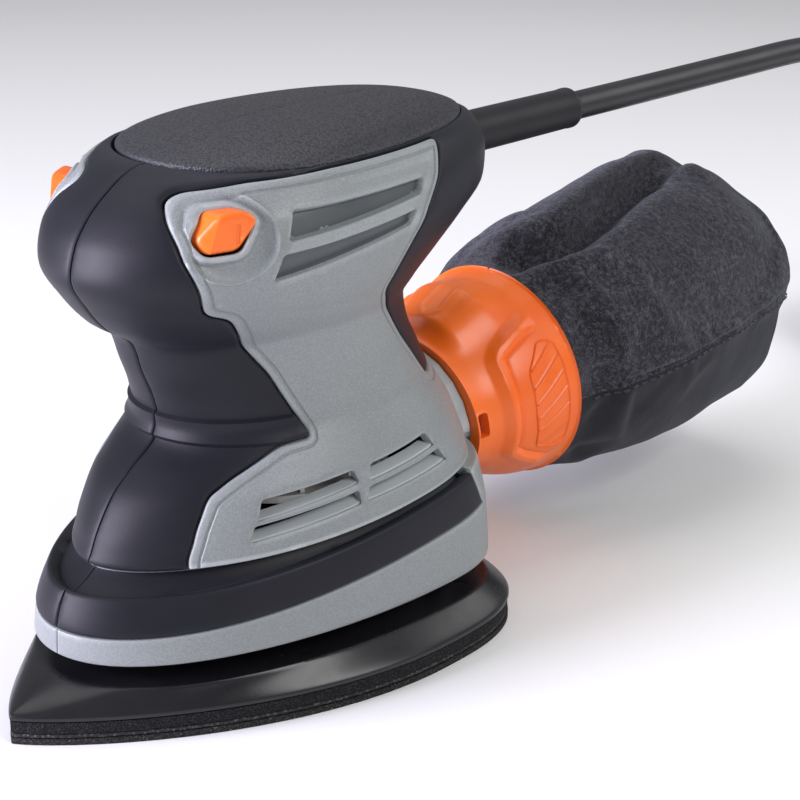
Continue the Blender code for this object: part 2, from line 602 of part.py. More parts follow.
def housing_pieces():
    """The two halves of the housing, and the covers, panels and bumpers outside them."""
    sleeve_way = cylinder("sleeve_way", (0.0, 0.0), SLEEVE_RADIUS + 0.3, (40.0, 90.0), steps=20)
    sleeve_way.rotation_euler = (0.0, math.pi / 2, 0.0)
    sleeve_way.location = (0.0, 0.0, CORD_Z * MM)
    narrow, wide = port_cutters()
    for side, word in ((-1, "left"), (1, "right")):
        step = BUMPER_THICKNESS + GAP / MM
        walls = [(SKIRT[0], 0.0), (lowered(SKIRT[1], 0.3), 0.0), (lowered(SKIRT[1], 0.2), step)]
        walls += [(SKIRT[2], step)] + [(level, HOUSING_INSET) for level in BODY]
        walls = [(level, inset, inset + HOUSING_THICKNESS) for level, inset in walls]
        housing = half_shell(f"housing_{word}", walls, side, GREY)
        cover_walls = [(level, 0.0, COVER_THICKNESS) for level in BODY]
        cover = half_shell(f"grip_cover_{word}", cover_walls, side, BLACK)
        panel = half_shell(f"side_panel_{word}", cover_walls, side, GREY)
        bumper_walls = [(SKIRT[1], 0.0, BUMPER_THICKNESS), (SKIRT[2], 0.0, BUMPER_THICKNESS)]
        bumper = half_shell(f"bumper_{word}", bumper_walls, side, BLACK)
        reach = sorted((side * 4.0, side * 60.0))
        hidden = sorted((side * -2.0, side * 60.0))
        boolean(cover, prism(f"panel_outside_{word}", grown(PANEL, GAP / MM), hidden))
        boolean(panel, prism(f"panel_inside_{word}", PANEL, hidden), "INTERSECT")
        for i, slot in enumerate(LOWER_SLOTS + UPPER_SLOTS):
            boolean(panel, prism(f"air_slot_{word}_{i + 1}", slot, reach))
        boolean(housing, prism(f"air_window_{word}", AIR_WINDOW, reach))
        hole = prism(f"button_way_{word}", grown(BUTTON, 0.6), sorted((side * 12.0, side * 60.0)))
        boolean(panel, hole)
        boolean(housing, hole)
        for item in (housing, panel, bumper):
            boolean(item, narrow)
        for item in (housing, panel):
            boolean(item, wide)
        boolean(housing, sleeve_way)
        boolean(cover, sleeve_way)
        screw_bosses(housing, side, word)


def lowered(level, drop):
    return (level[0] - drop,) + level[1:]


def screw_bosses(housing, side, word):
    """A boss round each screw: blind in the left half, and right through the right half."""
    core = half_core(f"core_{word}", side, HOUSING_INSET + 0.9)
    for i, place in enumerate(SCREWS):
        boss = crosswise(f"boss_{word}_{i + 1}", place, 4.6, sorted((side * SEAM / MM, side * 50.0)))
        boolean(boss, core, "INTERSECT")
        boolean(housing, boss, "UNION")
        if side < 0:
            boolean(housing, crosswise(f"blind_{i + 1}", place, 1.8, (-9.0, 1.0), steps=8))
            continue
        boolean(housing, crosswise(f"through_{i + 1}", place, 1.8, (-1.0, 60.0), steps=8))
        boolean(housing, crosswise(f"well_{i + 1}", place, 3.2, (8.0, 60.0)))
        turned_screw(i, place)


def half_core(name, side, inset):
    """The space inside half the body, to trim with."""
    mesh = bmesh.new()
    close(mesh, [[mesh.verts.new(p) for p in level_points(level, side, inset)] for level in BODY])
    return from_bmesh(name, mesh)


def turned_screw(i, place):
    """A housing screw along Y with its head in the right half."""
    profile = ((0.0, 10.8), (2.8, 10.8), (2.8, 8.4), (1.4, 8.4), (1.4, -7.6), (0.0, -7.6))
    screw = turned(f"housing_screw_{i + 1}", profile, STEEL, 10, ring=False)
    screw.rotation_euler = (-math.pi / 2, 0.0, 0.0)
    screw.location = Vector((place[0], 0.0, place[1])) * MM


def grip_pad():
    """The oval pad on top: a dome with an open underside."""
    mesh = bmesh.new()
    outer = [full_loop(mesh, level[2:], level[0]) for level in DOME]
    inner = [full_loop(mesh, level[2:], level[0] - DOME_THICKNESS, 2.5) for level in DOME[2:]]
    inner = [full_loop(mesh, DOME[0][2:], DOME[0][0], 3.0)] + inner
    count = len(outer[0])
    for grid in (outer, inner):
        for lower, upper in zip(grid, grid[1:]):
            for i in range(count):
                j = (i + 1) % count
                mesh.faces.new((lower[i], lower[j], upper[j], upper[i]))
        mesh.faces.new(grid[-1])
    for i in range(count):
        j = (i + 1) % count
        mesh.faces.new((outer[0][i], outer[0][j], inner[0][j], inner[0][i]))
    return from_bmesh("top_grip_pad", mesh, BLACK)


def switch_pieces():
    """The push-through switch bar with a cap on each side, and the switch that it works."""
    y0, x0, slope = BUTTON_FACE
    mesh = bmesh.new()
    for side in (-1, 1):
        base = [mesh.verts.new((x * MM, (side * 18.0 + SWITCH_SHIFT) * MM, z * MM)) for x, z in BUTTON]
        face = []
        for x, z in BUTTON:
            y = side * (y0 + slope * (x - x0)) + SWITCH_SHIFT
            face.append(mesh.verts.new((x * MM, y * MM, z * MM)))
        close(mesh, (base, face))
    bar = from_bmesh("switch_bar", mesh, ORANGE)
    rod = box("switch_rod", (SWITCH_AXIS[0], SWITCH_SHIFT, SWITCH_AXIS[1]), (5.0, 38.0, 5.0))
    boolean(bar, rod, "UNION")
    box("power_switch", (-38.0, 0.0, 106.5), (15.0, 12.0, 13.0), BLACK)
    ride([bar], axis_empty("switch_axis", Vector((SWITCH_AXIS[0], 0.0, SWITCH_AXIS[1])) * MM))


def port_pieces():
    """The dust port that stays on the tool, then what slides off it."""
    spigot = along_port(
        "dust_port",
        ((-12.0, PORT_BORE), (-12.0, SPIGOT_RADIUS), (-47.0, SPIGOT_RADIUS), (-47.0, PORT_BORE)),
        GREY, ring=True)
    root = along_port(
        "port_root",
        ((-35.5, SPIGOT_RADIUS - 1.0), (-35.5, ROOT_RADIUS), (-44.5, ROOT_RADIUS),
         (-44.5, SPIGOT_RADIUS - 1.0)), ring=True)
    boolean(root, box("root_top", (50.0, 0.0, 43.7 + 20.0), (60.0, 60.0, 40.0)), "INTERSECT")
    boolean(spigot, root, "UNION")
    collar = loft_along_port("dust_collar", COLLAR_ROWS, ORANGE)
    boolean(collar, port_plug("collar_bore", SPIGOT_RADIUS + 0.4, -40.0, 5.0))
    for side, word in ((-1, "left"), (1, "right")):
        window = box(f"latch_window_{word}", (0.0, side * 22.0, 0.0), (3.0, 14.0, 7.0))
        window.location = port_point(-28.5, 0.0, -6.0)
        window.rotation_euler = (0.0, -PORT_TILT, 0.0)
        boolean(collar, window)
    frame = along_port(
        "bag_frame",
        ((8.0, 20.0), (8.0, 28.4), (GAP / MM, 28.4), (GAP / MM, 20.0)), BLACK, ring=True)
    bag = loft_along_port("dust_bag", BAG_ROWS, FABRIC)
    boolean(bag, port_plug("bag_mouth", 28.8, -1.0, 8.4))
    ride([collar, frame, bag], axis_empty("port_axis", PORT_ORIGIN))


def port_point(along, across, above):
    """A point given along the port's axis, to the right of it and above it."""
    forward = Vector((math.cos(PORT_TILT), 0.0, math.sin(PORT_TILT)))
    upward = Vector((-math.sin(PORT_TILT), 0.0, math.cos(PORT_TILT)))
    return PORT_ORIGIN + (forward * along + upward * above + Vector((0.0, across, 0.0))) * MM


def loft_along_port(name, rows, look, steps=24):
    """A solid through round sections that are deeper below the axis than above it."""
    mesh = bmesh.new()
    loops = []
    for along, above, below, half in rows:
        loop = []
        for i in range(steps):
            angle = i / steps * 2 * math.pi
            up = math.cos(angle)
            reach = above if up > 0 else below
            loop.append(mesh.verts.new(port_point(along, half * math.sin(angle), reach * up)))
        loops.append(loop)
    close(mesh, loops)
    return from_bmesh(name, mesh, look)


def smooth_route(points, spacing):
    """Points along a smooth curve through the route's points, about one spacing apart."""
    path = [Vector(p) * MM for p in points]
    ends = [path[0] * 2 - path[1]] + path + [path[-1] * 2 - path[-2]]
    fine = []
    for a, b, c, d in zip(ends, ends[1:], ends[2:], ends[3:]):
        for i in range(24):
            t = i / 24
            place = 2 * b + (c - a) * t + (2 * a - 5 * b + 4 * c - d) * t**2
            fine.append(0.5 * (place + (3 * b - a - 3 * c + d) * t**3))
    fine.append(path[-1])
    lengths = [0.0]
    for a, b in zip(fine, fine[1:]):
        lengths.append(lengths[-1] + (b - a).length)
    count = max(2, round(lengths[-1] / spacing))
    result = []
    j = 0
    for i in range(count + 1):
        want = lengths[-1] * i / count
        while j < len(fine) - 2 and lengths[j + 1] < want:
            j += 1
        step = max(lengths[j + 1] - lengths[j], 1e-9)
        result.append(fine[j].lerp(fine[j + 1], (want - lengths[j]) / step))
    return result


def cord_tube(name, points, spacing):
    """A round cord through a route, with a point about every spacing along it."""
    data = bpy.data.curves.new(name, "CURVE")
    data.dimensions = "3D"
    data.bevel_depth = CORD_RADIUS * MM
    data.bevel_resolution = 3
    data.use_fill_caps = True
    spline = data.splines.new("POLY")
    path = smooth_route(points, spacing * MM)
    spline.points.add(len(path) - 1)
    for i, place in enumerate(path):
        spline.points[i].co = (*place, 1.0)
    item = bpy.data.objects.new(name, data)
    PARTS.objects.link(item)
    paint(item, BLACK)


def cord_pieces():
    """The strain relief, the lead, its coil and its plug."""
    inside, wall, end = SLEEVE_X
    bore = CORD_RADIUS + 0.4
    profile = (
        (SLEEVE_RADIUS, end), (SLEEVE_RADIUS, wall), (SLEEVE_RADIUS + 2.0, wall),
        (SLEEVE_RADIUS + 2.0, inside), (bore, inside), (bore, end))
    sleeve = turned("cord_sleeve", profile, BLACK, 16)
    sleeve.rotation_euler = (0.0, math.pi / 2, 0.0)
    sleeve.location = (0.0, 0.0, CORD_Z * MM)
    cord_tube("cord_lead", ROUTE, 16.0)
    half = COIL_WIDTH / 2
    low, high = COIL_Z
    profile = (
        (COIL_RADIUS + half - 3.0, high), (COIL_RADIUS + half, high - 3.0), (COIL_RADIUS + half, low + 3.0),
        (COIL_RADIUS + half - 3.0, low), (COIL_RADIUS - half + 3.0, low), (COIL_RADIUS - half, low + 3.0),
        (COIL_RADIUS - half, high - 3.0), (COIL_RADIUS - half + 3.0, high))
    turned("cord_coil", profile, BLACK, 26, COIL_CENTRE)
    cord_tube("cord_tail", TAIL_ROUTE, 8.0)
    plug_pieces()


def plug_pieces():
    """A flat moulded plug with two round pins, lying beside the coil."""
    mesh = bmesh.new()
    loops = []
    for along, half_width, half_height in PLUG_ROWS:
        loop = []
        for i in range(16):
            angle = (i + 0.5) / 16 * 2 * math.pi
            y = half_width * math.copysign(abs(math.cos(angle)) ** 0.6, math.cos(angle))
            z = half_height * math.copysign(abs(math.sin(angle)) ** 0.6, math.sin(angle))
            loop.append(mesh.verts.new((along * MM, y * MM, z * MM)))
        loops.append(loop)
    close(mesh, loops)
    body = from_bmesh("plug_body", mesh, BLACK)
    foot = PLUG_ROWS[-1][0] + GAP / MM
    parts = [body]
    for side, word in ((-1, "left"), (1, "right")):
        pin = turned(
            f"plug_pin_{word}",
            ((0.0, foot + PIN_LENGTH), (PIN_RADIUS - 0.5, foot + PIN_LENGTH),
             (PIN_RADIUS, foot + PIN_LENGTH - 1.5), (PIN_RADIUS, foot), (0.0, foot)),
            BRASS, 12, ring=False)
        pin.rotation_euler = (0.0, math.pi / 2, 0.0)
        pin.location = (0.0, side * PIN_SPACING / 2 * MM, 0.0)
        parts.append(pin)
    place = axis_empty("plug_place", (0.0, 0.0, 0.0))
    for item in parts:
        item.parent = place
    place.location = Vector(PLUG_PLACE) * MM
    place.rotation_euler = (0.0, 0.0, PLUG_TURN)


def build():
    rotor_axis = axis_empty("rotor_axis", (0.0, 0.0, 0.0))
    orbit_axis = axis_empty("orbit_axis", (ORBIT * MM, 0.0, 0.0))
    ride(pad_pieces(), orbit_axis)
    flexible_legs()
    ride(rotor_pieces(), rotor_axis)
    motor_pieces()
    bearing_plate()
    housing_pieces()
    grip_pad()
    switch_pieces()
    port_pieces()
    cord_pieces()


clear_scene()
PARTS = collection("detail_mouse_sander")
CUTTERS = collection("cutters")
build()
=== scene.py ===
"""The looks of the detail mouse sander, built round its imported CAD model.

Sizes here are millimetres in the row's frame, as in the part: -X is the nose, -Y the left side.
"""

import math

import bmesh
import bpy
import numpy as np
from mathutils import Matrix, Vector
from mathutils.geometry import delaunay_2d_cdt


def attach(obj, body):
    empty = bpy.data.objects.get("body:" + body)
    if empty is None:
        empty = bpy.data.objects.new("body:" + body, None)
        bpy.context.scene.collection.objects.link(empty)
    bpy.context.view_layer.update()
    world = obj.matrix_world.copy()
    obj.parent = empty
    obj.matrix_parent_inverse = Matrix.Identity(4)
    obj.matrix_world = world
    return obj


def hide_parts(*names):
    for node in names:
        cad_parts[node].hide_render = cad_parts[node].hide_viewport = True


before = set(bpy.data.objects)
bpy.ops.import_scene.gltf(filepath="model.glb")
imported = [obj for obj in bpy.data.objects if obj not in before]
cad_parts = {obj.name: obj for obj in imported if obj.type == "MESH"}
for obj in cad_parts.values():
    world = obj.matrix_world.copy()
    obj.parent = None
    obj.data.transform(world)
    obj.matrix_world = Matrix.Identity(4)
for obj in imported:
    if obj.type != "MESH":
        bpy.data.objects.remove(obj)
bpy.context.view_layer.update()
MM = 0.001
FAR = 99.0
LEFT, RIGHT = -1, 1
SIDES = ((LEFT, "left"), (RIGHT, "right"))

# The body's levels: height at the nose, rise at the tail, nose, tail, half width, widest place and
# three exponents of its flat outline.
LEVELS = (
    (17.7, 0.0, -70.9, 51.5, 42.9, 14.0, 1.9, 2.1, 3.1),
    (24.2, 9.1, -70.4, 51.8, 42.0, 12.0, 1.9, 2.0, 3.0),
    (33.2, 9.6, -66.9, 51.0, 40.6, 9.0, 1.9, 1.8, 2.9),
    (37.6, 6.0, -60.2, 51.2, 38.6, 7.0, 1.9, 1.75, 2.6),
    (44.0, 3.6, -57.0, 51.0, 37.8, 7.0, 1.9, 1.8, 2.5),
    (52.0, 1.0, -51.6, 50.4, 36.6, 7.0, 1.95, 1.85, 2.3),
    (56.5, 0.6, -46.4, 49.8, 34.9, 7.0, 2.0, 1.9, 2.2),
    (62.5, 0.0, -38.6, 47.6, 31.8, 6.0, 2.1, 2.1, 2.1),
    (66.0, 0.0, -37.2, 46.0, 29.8, 5.0, 2.1, 2.1, 2.0),
    (72.0, 0.0, -38.3, 43.0, 28.5, 4.0, 2.2, 2.2, 2.0),
    (80.0, 0.0, -41.5, 39.0, 27.5, 2.0, 2.2, 2.2, 2.0),
    (87.0, 0.0, -43.9, 37.5, 28.0, 0.0, 2.2, 2.2, 2.0),
    (92.0, 0.0, -51.0, 42.0, 30.5, -3.0, 2.2, 2.2, 2.0),
    (98.0, 0.0, -56.1, 50.0, 33.5, -6.0, 2.2, 2.2, 2.0),
    (106.0, 0.0, -60.4, 61.0, 36.5, -8.0, 2.2, 2.2, 2.0),
    (112.5, 0.0, -58.8, 68.0, 38.0, -8.0, 2.15, 2.15, 2.0),
    (119.0, 0.0, -54.3, 69.0, 37.5, -8.0, 2.1, 2.1, 2.0),
    (124.0, 0.0, -48.2, 67.0, 35.6, -6.0, 2.1, 2.1, 2.0),
    (127.5, 0.0, -42.0, 63.5, 33.3, -5.0, 2.1, 2.1, 2.0),
    (128.5, 0.0, -37.4, 62.0, 32.0, -5.0, 2.1, 2.1, 2.0),
)
DOME = (
    (126.9, 0.0, -36.4, 61.2, 31.2, -4.0, 2.1, 2.1, 2.0),
    (128.2, 0.0, -36.4, 61.2, 31.2, -4.0, 2.1, 2.1, 2.0),
    (128.9, 0.0, -36.0, 60.8, 30.9, -3.4, 2.1, 2.1, 2.0),
    (129.7, 0.0, -34.4, 59.2, 29.9, -3.0, 2.1, 2.1, 2.0),
    (131.6, 0.0, -27.5, 53.0, 26.4, 2.0, 2.1, 2.1, 2.0),
    (133.2, 0.0, -18.0, 44.5, 19.6, 8.0, 2.1, 2.1, 2.0),
    (134.1, 0.0, -6.0, 32.5, 11.0, 12.0, 2.1, 2.1, 2.0),
    (134.35, 0.0, 9.0, 19.0, 3.0, 13.8, 2.1, 2.1, 2.0),
)
ARC = 40.0  # millimetres along an outline for each radian of its turn
TAIL_SEAM = ARC * math.pi
SKIRT_FOOT, BUMPER_FOOT, BUMPER_TOP, COVER_FOOT, COVER_TOP = 17.7, 24.2, 33.2, 37.6, 128.5

# Outlines on the side of the body, as places in X and Z.
PANEL = (
    (-47.3, 30.0), (-47.3, 38.3), (-44.0, 46.3), (-40.1, 53.1), (-33.9, 56.6), (-21.5, 62.4),
    (-13.8, 63.2), (-22.7, 79.5), (-37.2, 96.7), (-43.2, 98.7), (-46.4, 106.2), (-48.6, 112.0),
    (-48.2, 119.8), (-45.4, 123.6), (-42.0, 125.4), (-31.0, 127.0), (-11.5, 127.9), (28.2, 127.9),
    (23.4, 119.2), (18.6, 113.5), (12.4, 102.3), (9.4, 95.0), (10.0, 93.0), (23.8, 76.3),
    (33.0, 65.2), (70.0, 65.2), (70.0, 30.0),
)
DUST_HOLE_RADIUS = 1.8
DUST_HOLES = ((-44.0, 0.0), (-20.0, 24.0), (-20.0, -24.0), (22.0, 30.0), (22.0, -30.0), (40.0, 0.0))
PAD_EDGE = (-85.0, 55.0, 49.6, 9.7, 1.883, 1.164, 3.1)
PAD_TOP = (-70.5, 49.0, 43.9, 14.0, 1.9, 2.1, 3.1)
OPEN_SLOTS = (
    ((-30.1, 51.7), (-6.8, 54.2), (-5.7, 50.8), (-32.0, 46.9)),
    ((-32.8, 45.8), (-6.0, 49.0), (-5.9, 45.6), (-34.6, 42.0)),
    ((-1.6, 54.4), (19.3, 56.2), (21.6, 52.4), (-2.8, 50.4)),
    ((-2.9, 49.2), (23.0, 51.2), (25.6, 47.6), (-4.2, 45.8)),
)
BLIND_SLOTS = (
    ((-24.9, 121.1), (17.3, 121.0), (15.9, 117.2), (-27.2, 114.3)),
    ((-28.7, 111.6), (13.7, 114.1), (11.2, 110.6), (-30.3, 105.3)),
)
CREASES = (
    ((-34.0, 101.2), (-26.0, 102.6), (-12.0, 102.4), (2.0, 100.6)),
    ((-35.4, 96.6), (-30.0, 97.0), (-16.0, 96.0), (3.0, 93.7)),
)
AIR_WINDOW = ((-35.0, 41.0), (-33.0, 53.0), (24.0, 57.0), (27.0, 46.5))
BUTTON = ((-46.2, 116.3), (-41.7, 122.0), (-36.1, 122.5), (-33.7, 120.1), (-38.0, 113.6), (-44.8, 113.1))
BUTTON_FACE = (29.4, -40.0, 0.52)
FACET_END, FACET_LEAN = -42.6, 0.28
SWITCH_SHIFT = 0.8
BUTTON_DISH = (-39.5, 116.7, 9.9)
BUMPER_END = ((32.8, 42.6), (36.8, 33.3))
PALM_CREASE = 0.3
CORD_HEIGHT = 116.8

# Round ways out of the tail, each as the height of its middle and its radius.
SLEEVE_WAY = (CORD_HEIGHT, 6.6)
PORT_WAY = (42.0, 21.9)

# The dust port's axis, with the sections of the collar and the bag across it.
PORT_TILT = math.radians(6.2)
PORT_ORIGIN = (86.8, 0.0, 46.5)
COLLAR_ROWS = (
    (-35.0, 22.0, 18.0, 23.2), (-30.0, 22.2, 18.6, 24.2), (-24.0, 24.0, 21.0, 26.0),
    (-16.0, 27.6, 25.2, 28.0), (-8.0, 29.4, 28.4, 29.4), (0.0, 30.2, 30.0, 30.2),
)
BAG_ROWS = (
    (0.3, 30.3, 30.6, 30.3), (6.0, 31.0, 32.0, 31.0), (16.0, 34.0, 36.0, 36.0), (40.0, 37.0, 39.0, 39.5),
    (60.0, 38.5, 41.0, 40.0), (82.0, 38.0, 42.0, 38.5), (97.0, 30.0, 40.0, 35.0), (103.0, 18.0, 30.0, 27.0),
)

# The cord's middle line, as the part has it, and its coil.
CORD_RADIUS = 4.0
ROUTE = (
    (62.0, 0.0, 116.8), (117.0, 0.0, 116.8), (160.0, 0.0, 116.8), (205.0, 0.0, 116.9), (240.0, 0.0, 116.7),
    (268.0, 0.6, 113.6), (294.0, 2.4, 104.0), (317.0, 4.6, 89.0), (336.0, 5.8, 71.5), (351.0, 3.6, 54.5),
    (362.5, -3.5, 40.5), (369.0, -14.5, 32.0), (370.2, -27.5, 29.0), (367.0, -42.5, 29.0),
)
TAIL_ROUTE = (
    (356.2, 22.2, 4.3), (370.0, 22.2, 4.4), (385.0, 18.9, 5.3), (396.8, 9.2, 7.2), (402.0, -4.0, 8.5),
    (402.0, -12.0, 8.6),
)
COIL_CENTRE = (326.0, -26.0)
COIL_SLOTS = ((39.85, 20.5), (48.15, 20.5), (48.15, 12.3), (39.85, 12.3), (39.85, 4.1), (48.15, 4.1))


# ---------------------------------------------------------------- node helpers


class Look:
    """A material under construction: its nodes, with short calls to add and join them."""

    def __init__(self, name, roughness=0.5, metallic=0.0, specular=0.5):
        self.material = bpy.data.materials.new(name)
        self.material.use_nodes = True
        self.tree = self.material.node_tree
        self.shader = self.tree.nodes["Principled BSDF"]
        self.shader.inputs["Roughness"].default_value = roughness
        self.shader.inputs["Metallic"].default_value = metallic
        self.shader.inputs["Specular IOR Level"].default_value = specular
        self.place = self.node("ShaderNodeTexCoord").outputs["Object"]

    def node(self, kind, **settings):
        made = self.tree.nodes.new(kind)
        for key, value in settings.items():
            setattr(made, key, value)
        return made

    def join(self, source, target):
        self.tree.links.new(source, target)

    def noise(self, scale, detail=3.0, roughness=0.5, stretch=None, distortion=0.0):
        made = self.node("ShaderNodeTexNoise")
        made.inputs["Scale"].default_value = scale
        made.inputs["Detail"].default_value = detail
        made.inputs["Roughness"].default_value = roughness
        made.inputs["Distortion"].default_value = distortion
        self.join(self.placed(stretch), made.inputs["Vector"])
        return made.outputs["Fac"]

    def cells(self, scale):
        made = self.node("ShaderNodeTexVoronoi", feature="F1")
        made.inputs["Scale"].default_value = scale
        self.join(self.place, made.inputs["Vector"])
        return made.outputs["Distance"]

    def waves(self, scale, direction="X", distortion=0.0):
        made = self.node("ShaderNodeTexWave", bands_direction=direction)
        made.inputs["Scale"].default_value = scale
        made.inputs["Distortion"].default_value = distortion
        self.join(self.place, made.inputs["Vector"])
        return made.outputs["Fac"]

    def placed(self, stretch):
        if stretch is None:
            return self.place
        mapping = self.node("ShaderNodeMapping")
        mapping.inputs["Scale"].default_value = stretch
        self.join(self.place, mapping.inputs["Vector"])
        return mapping.outputs["Vector"]

    def ramp(self, fac, stops):
        """Colours or greys at places from 0 to 1."""
        made = self.node("ShaderNodeValToRGB")
        band = made.color_ramp
        while len(band.elements) < len(stops):
            band.elements.new(0.5)
        for element, (at, colour) in zip(band.elements, stops):
            element.position = at
            element.color = (*colour, 1.0) if isinstance(colour, tuple) else (colour, colour, colour, 1.0)
        self.join(fac, made.inputs["Fac"])
        return made.outputs["Color"]

    def blend(self, fac, first, second):
        made = self.node("ShaderNodeMix", data_type="RGBA", blend_type="MIX")
        for socket, value in ((made.inputs[0], fac), (made.inputs[6], first), (made.inputs[7], second)):
            if isinstance(value, bpy.types.NodeSocket):
                self.join(value, socket)
            elif isinstance(value, tuple):
                socket.default_value = (*value, 1.0)
            else:
                socket.default_value = value
        return made.outputs[2]

    def math(self, kind, first, second):
        made = self.node("ShaderNodeMath", operation=kind)
        for socket, value in zip(made.inputs, (first, second)):
            if isinstance(value, bpy.types.NodeSocket):
                self.join(value, socket)
            else:
                socket.default_value = value
        return made.outputs[0]

    def painted_edge_highlights(self, low=0.52, high=0.62):
        """Painted highlight: lighter colour along convex edges, where they catch the light, found from the
        shape itself.
        """
        geometry = self.node("ShaderNodeNewGeometry")
        return self.ramp(geometry.outputs["Pointiness"], ((low, 0.0), (high, 1.0)))

    def colour(self, source):
        if isinstance(source, tuple):
            self.shader.inputs["Base Color"].default_value = (*source, 1.0)
        else:
            self.join(source, self.shader.inputs["Base Color"])

    def rough(self, fac, low, high):
        self.join(self.ramp(fac, ((0.0, low), (1.0, high))), self.shader.inputs["Roughness"])

    def bump(self, height, depth):
        """A height of 0 to 1 that stands for a depth in millimetres."""
        made = self.node("ShaderNodeBump")
        made.inputs["Distance"].default_value = depth * MM
        made.inputs["Strength"].default_value = 1.0
        self.join(height, made.inputs["Height"])
        if self.shader.inputs["Normal"].links:
            self.join(self.shader.inputs["Normal"].links[0].from_socket, made.inputs["Normal"])
        self.join(made.outputs["Normal"], self.shader.inputs["Normal"])

    def sheen(self, weight, roughness, tint=(1.0, 1.0, 1.0)):
        self.shader.inputs["Sheen Weight"].default_value = weight
        self.shader.inputs["Sheen Roughness"].default_value = roughness
        self.shader.inputs["Sheen Tint"].default_value = (*tint, 1.0)


def grey_plastic():
    """Satin grey moulding with fine metallic-looking speckle and slightly lighter edges, a painted highlight.
    """
    look = Look("grey_plastic", 0.42, 0.0, 0.5)
    fine = look.noise(2600.0, 2.0)
    broad = look.noise(38.0, 3.0)
    speckle = look.ramp(fine, ((0.36, (0.195, 0.211, 0.215)), (0.66, (0.265, 0.284, 0.288))))
    body = look.blend(look.ramp(broad, ((0.3, 0.0), (0.7, 0.35))), speckle, (0.212, 0.229, 0.234))
    # Paler grey along the convex edges: a painted highlight.
    look.colour(look.blend(look.painted_edge_highlights(), body, (0.46, 0.49, 0.5)))
    look.rough(broad, 0.36, 0.5)
    look.bump(look.cells(1500.0), 0.02)
    return look.material


def black_rubber(name, colour=(0.004, 0.0045, 0.0085), lift=(0.009, 0.0095, 0.0155)):
    """Matte overmoulded rubber, a little bluish, with a fine sandblasted grain."""
    look = Look(name, 0.5, 0.0, 0.27)
    broad = look.noise(30.0, 4.0)
    body = look.ramp(broad, ((0.25, colour), (0.75, lift)))
    # Lighter colour along the convex edges: a painted highlight.
    look.colour(look.blend(look.painted_edge_highlights(0.53, 0.66), body, tuple(3.0 * c for c in lift)))
    look.rough(look.noise(90.0, 4.0), 0.42, 0.56)
    look.bump(look.noise(1900.0, 2.0), 0.02)
    look.sheen(0.025, 0.4, (0.75, 0.75, 1.0))
    return look.material


def pebbled_rubber():
    """The palm pad: soft rubber with a leather-like pebble."""
    look = Look("pebbled_rubber", 0.5, 0.0, 0.5)
    pebbles = look.cells(1500.0)
    small = look.noise(2600.0, 2.0)
    look.colour(look.ramp(pebbles, ((0.1, (0.04, 0.041, 0.05)), (0.8, (0.010, 0.010, 0.014)))))
    look.rough(pebbles, 0.38, 0.68)
    look.bump(small, 0.02)
    look.bump(look.ramp(pebbles, ((0.15, 1.0), (0.75, 0.0))), 0.1)
    return look.material


def orange_plastic(name="orange_plastic", gloss=0.34):
    """Orange moulding, slightly translucent, with paler edges as a painted highlight."""
    look = Look(name, gloss, 0.0, 0.5)
    broad = look.noise(34.0, 3.0)
    body = look.ramp(broad, ((0.3, (0.83, 0.125, 0.008)), (0.7, (0.93, 0.17, 0.014))))
    # Paler orange along the convex edges: a painted highlight.
    look.colour(look.blend(look.painted_edge_highlights(0.53, 0.68), body, (1.0, 0.34, 0.09)))
    look.rough(look.noise(110.0, 3.0), gloss - 0.05, gloss + 0.09)
    look.bump(look.noise(1400.0, 2.0), 0.012)
    look.shader.inputs["Subsurface Weight"].default_value = 0.06
    look.shader.inputs["Subsurface Radius"].default_value = (1.0, 0.3, 0.1)
    look.shader.inputs["Subsurface Scale"].default_value = 0.002
    return look.material


def felt():
    """The bag's brushed non-woven cloth: mottled charcoal with pale curled fibres."""
    look = Look("bag_felt", 0.95, 0.0, 0.12)
    mottle = look.noise(620.0, 8.0, 0.72)
    patch = look.noise(60.0, 5.0, 0.6)
    curls = look.noise(850.0, 5.0, distortion=1.6)
    dark, middle, pale = (0.009, 0.009, 0.011), (0.031, 0.03, 0.037), (0.1, 0.098, 0.113)
    body = look.ramp(mottle, ((0.34, dark), (0.5, middle), (0.66, pale)))
    body = look.blend(look.ramp(patch, ((0.38, 0.0), (0.64, 0.55))), body, (0.02, 0.0195, 0.024))
    fibres = look.ramp(curls, ((0.56, 0.0), (0.63, 0.8), (0.68, 0.0)))
    look.colour(look.blend(fibres, body, (0.105, 0.105, 0.12)))
    look.bump(curls, 0.35)
    look.bump(mottle, 0.6)
    look.sheen(0.3, 0.4, (0.72, 0.74, 0.86))
    return look.material


def smooth_cloth():
    """The plainer, tightly woven strip along the foot of the bag, darker than the felt: partly its own
    colour, partly painted shade for the bag's underside.
    """
    look = Look("bag_strip", 0.85, 0.0, 0.25)
    weave = look.math("MULTIPLY", look.waves(700.0, "X", 0.3), look.waves(700.0, "Z", 0.3))
    patch = look.noise(120.0, 5.0, 0.6)
    # These colours are kept low partly as painted shade, against the light the floor throws up under the bag.
    body = look.ramp(patch, ((0.3, (0.008, 0.008, 0.011)), (0.75, (0.019, 0.019, 0.025))))
    look.colour(look.blend(look.ramp(weave, ((0.2, 0.0), (0.8, 0.4))), body, (0.028, 0.028, 0.035)))
    look.bump(weave, 0.05)
    look.bump(patch, 0.25)
    look.sheen(0.12, 0.5, (0.75, 0.77, 0.88))
    return look.material


def foam():
    """The pad's open foam, paler where its cells catch the light."""
    look = Look("pad_foam", 0.9, 0.0, 0.2)
    cells = look.cells(2400.0)
    look.colour(look.ramp(cells, ((0.08, (0.05, 0.052, 0.055)), (0.45, (0.008, 0.008, 0.009)))))
    look.bump(cells, 0.12)
    return look.material


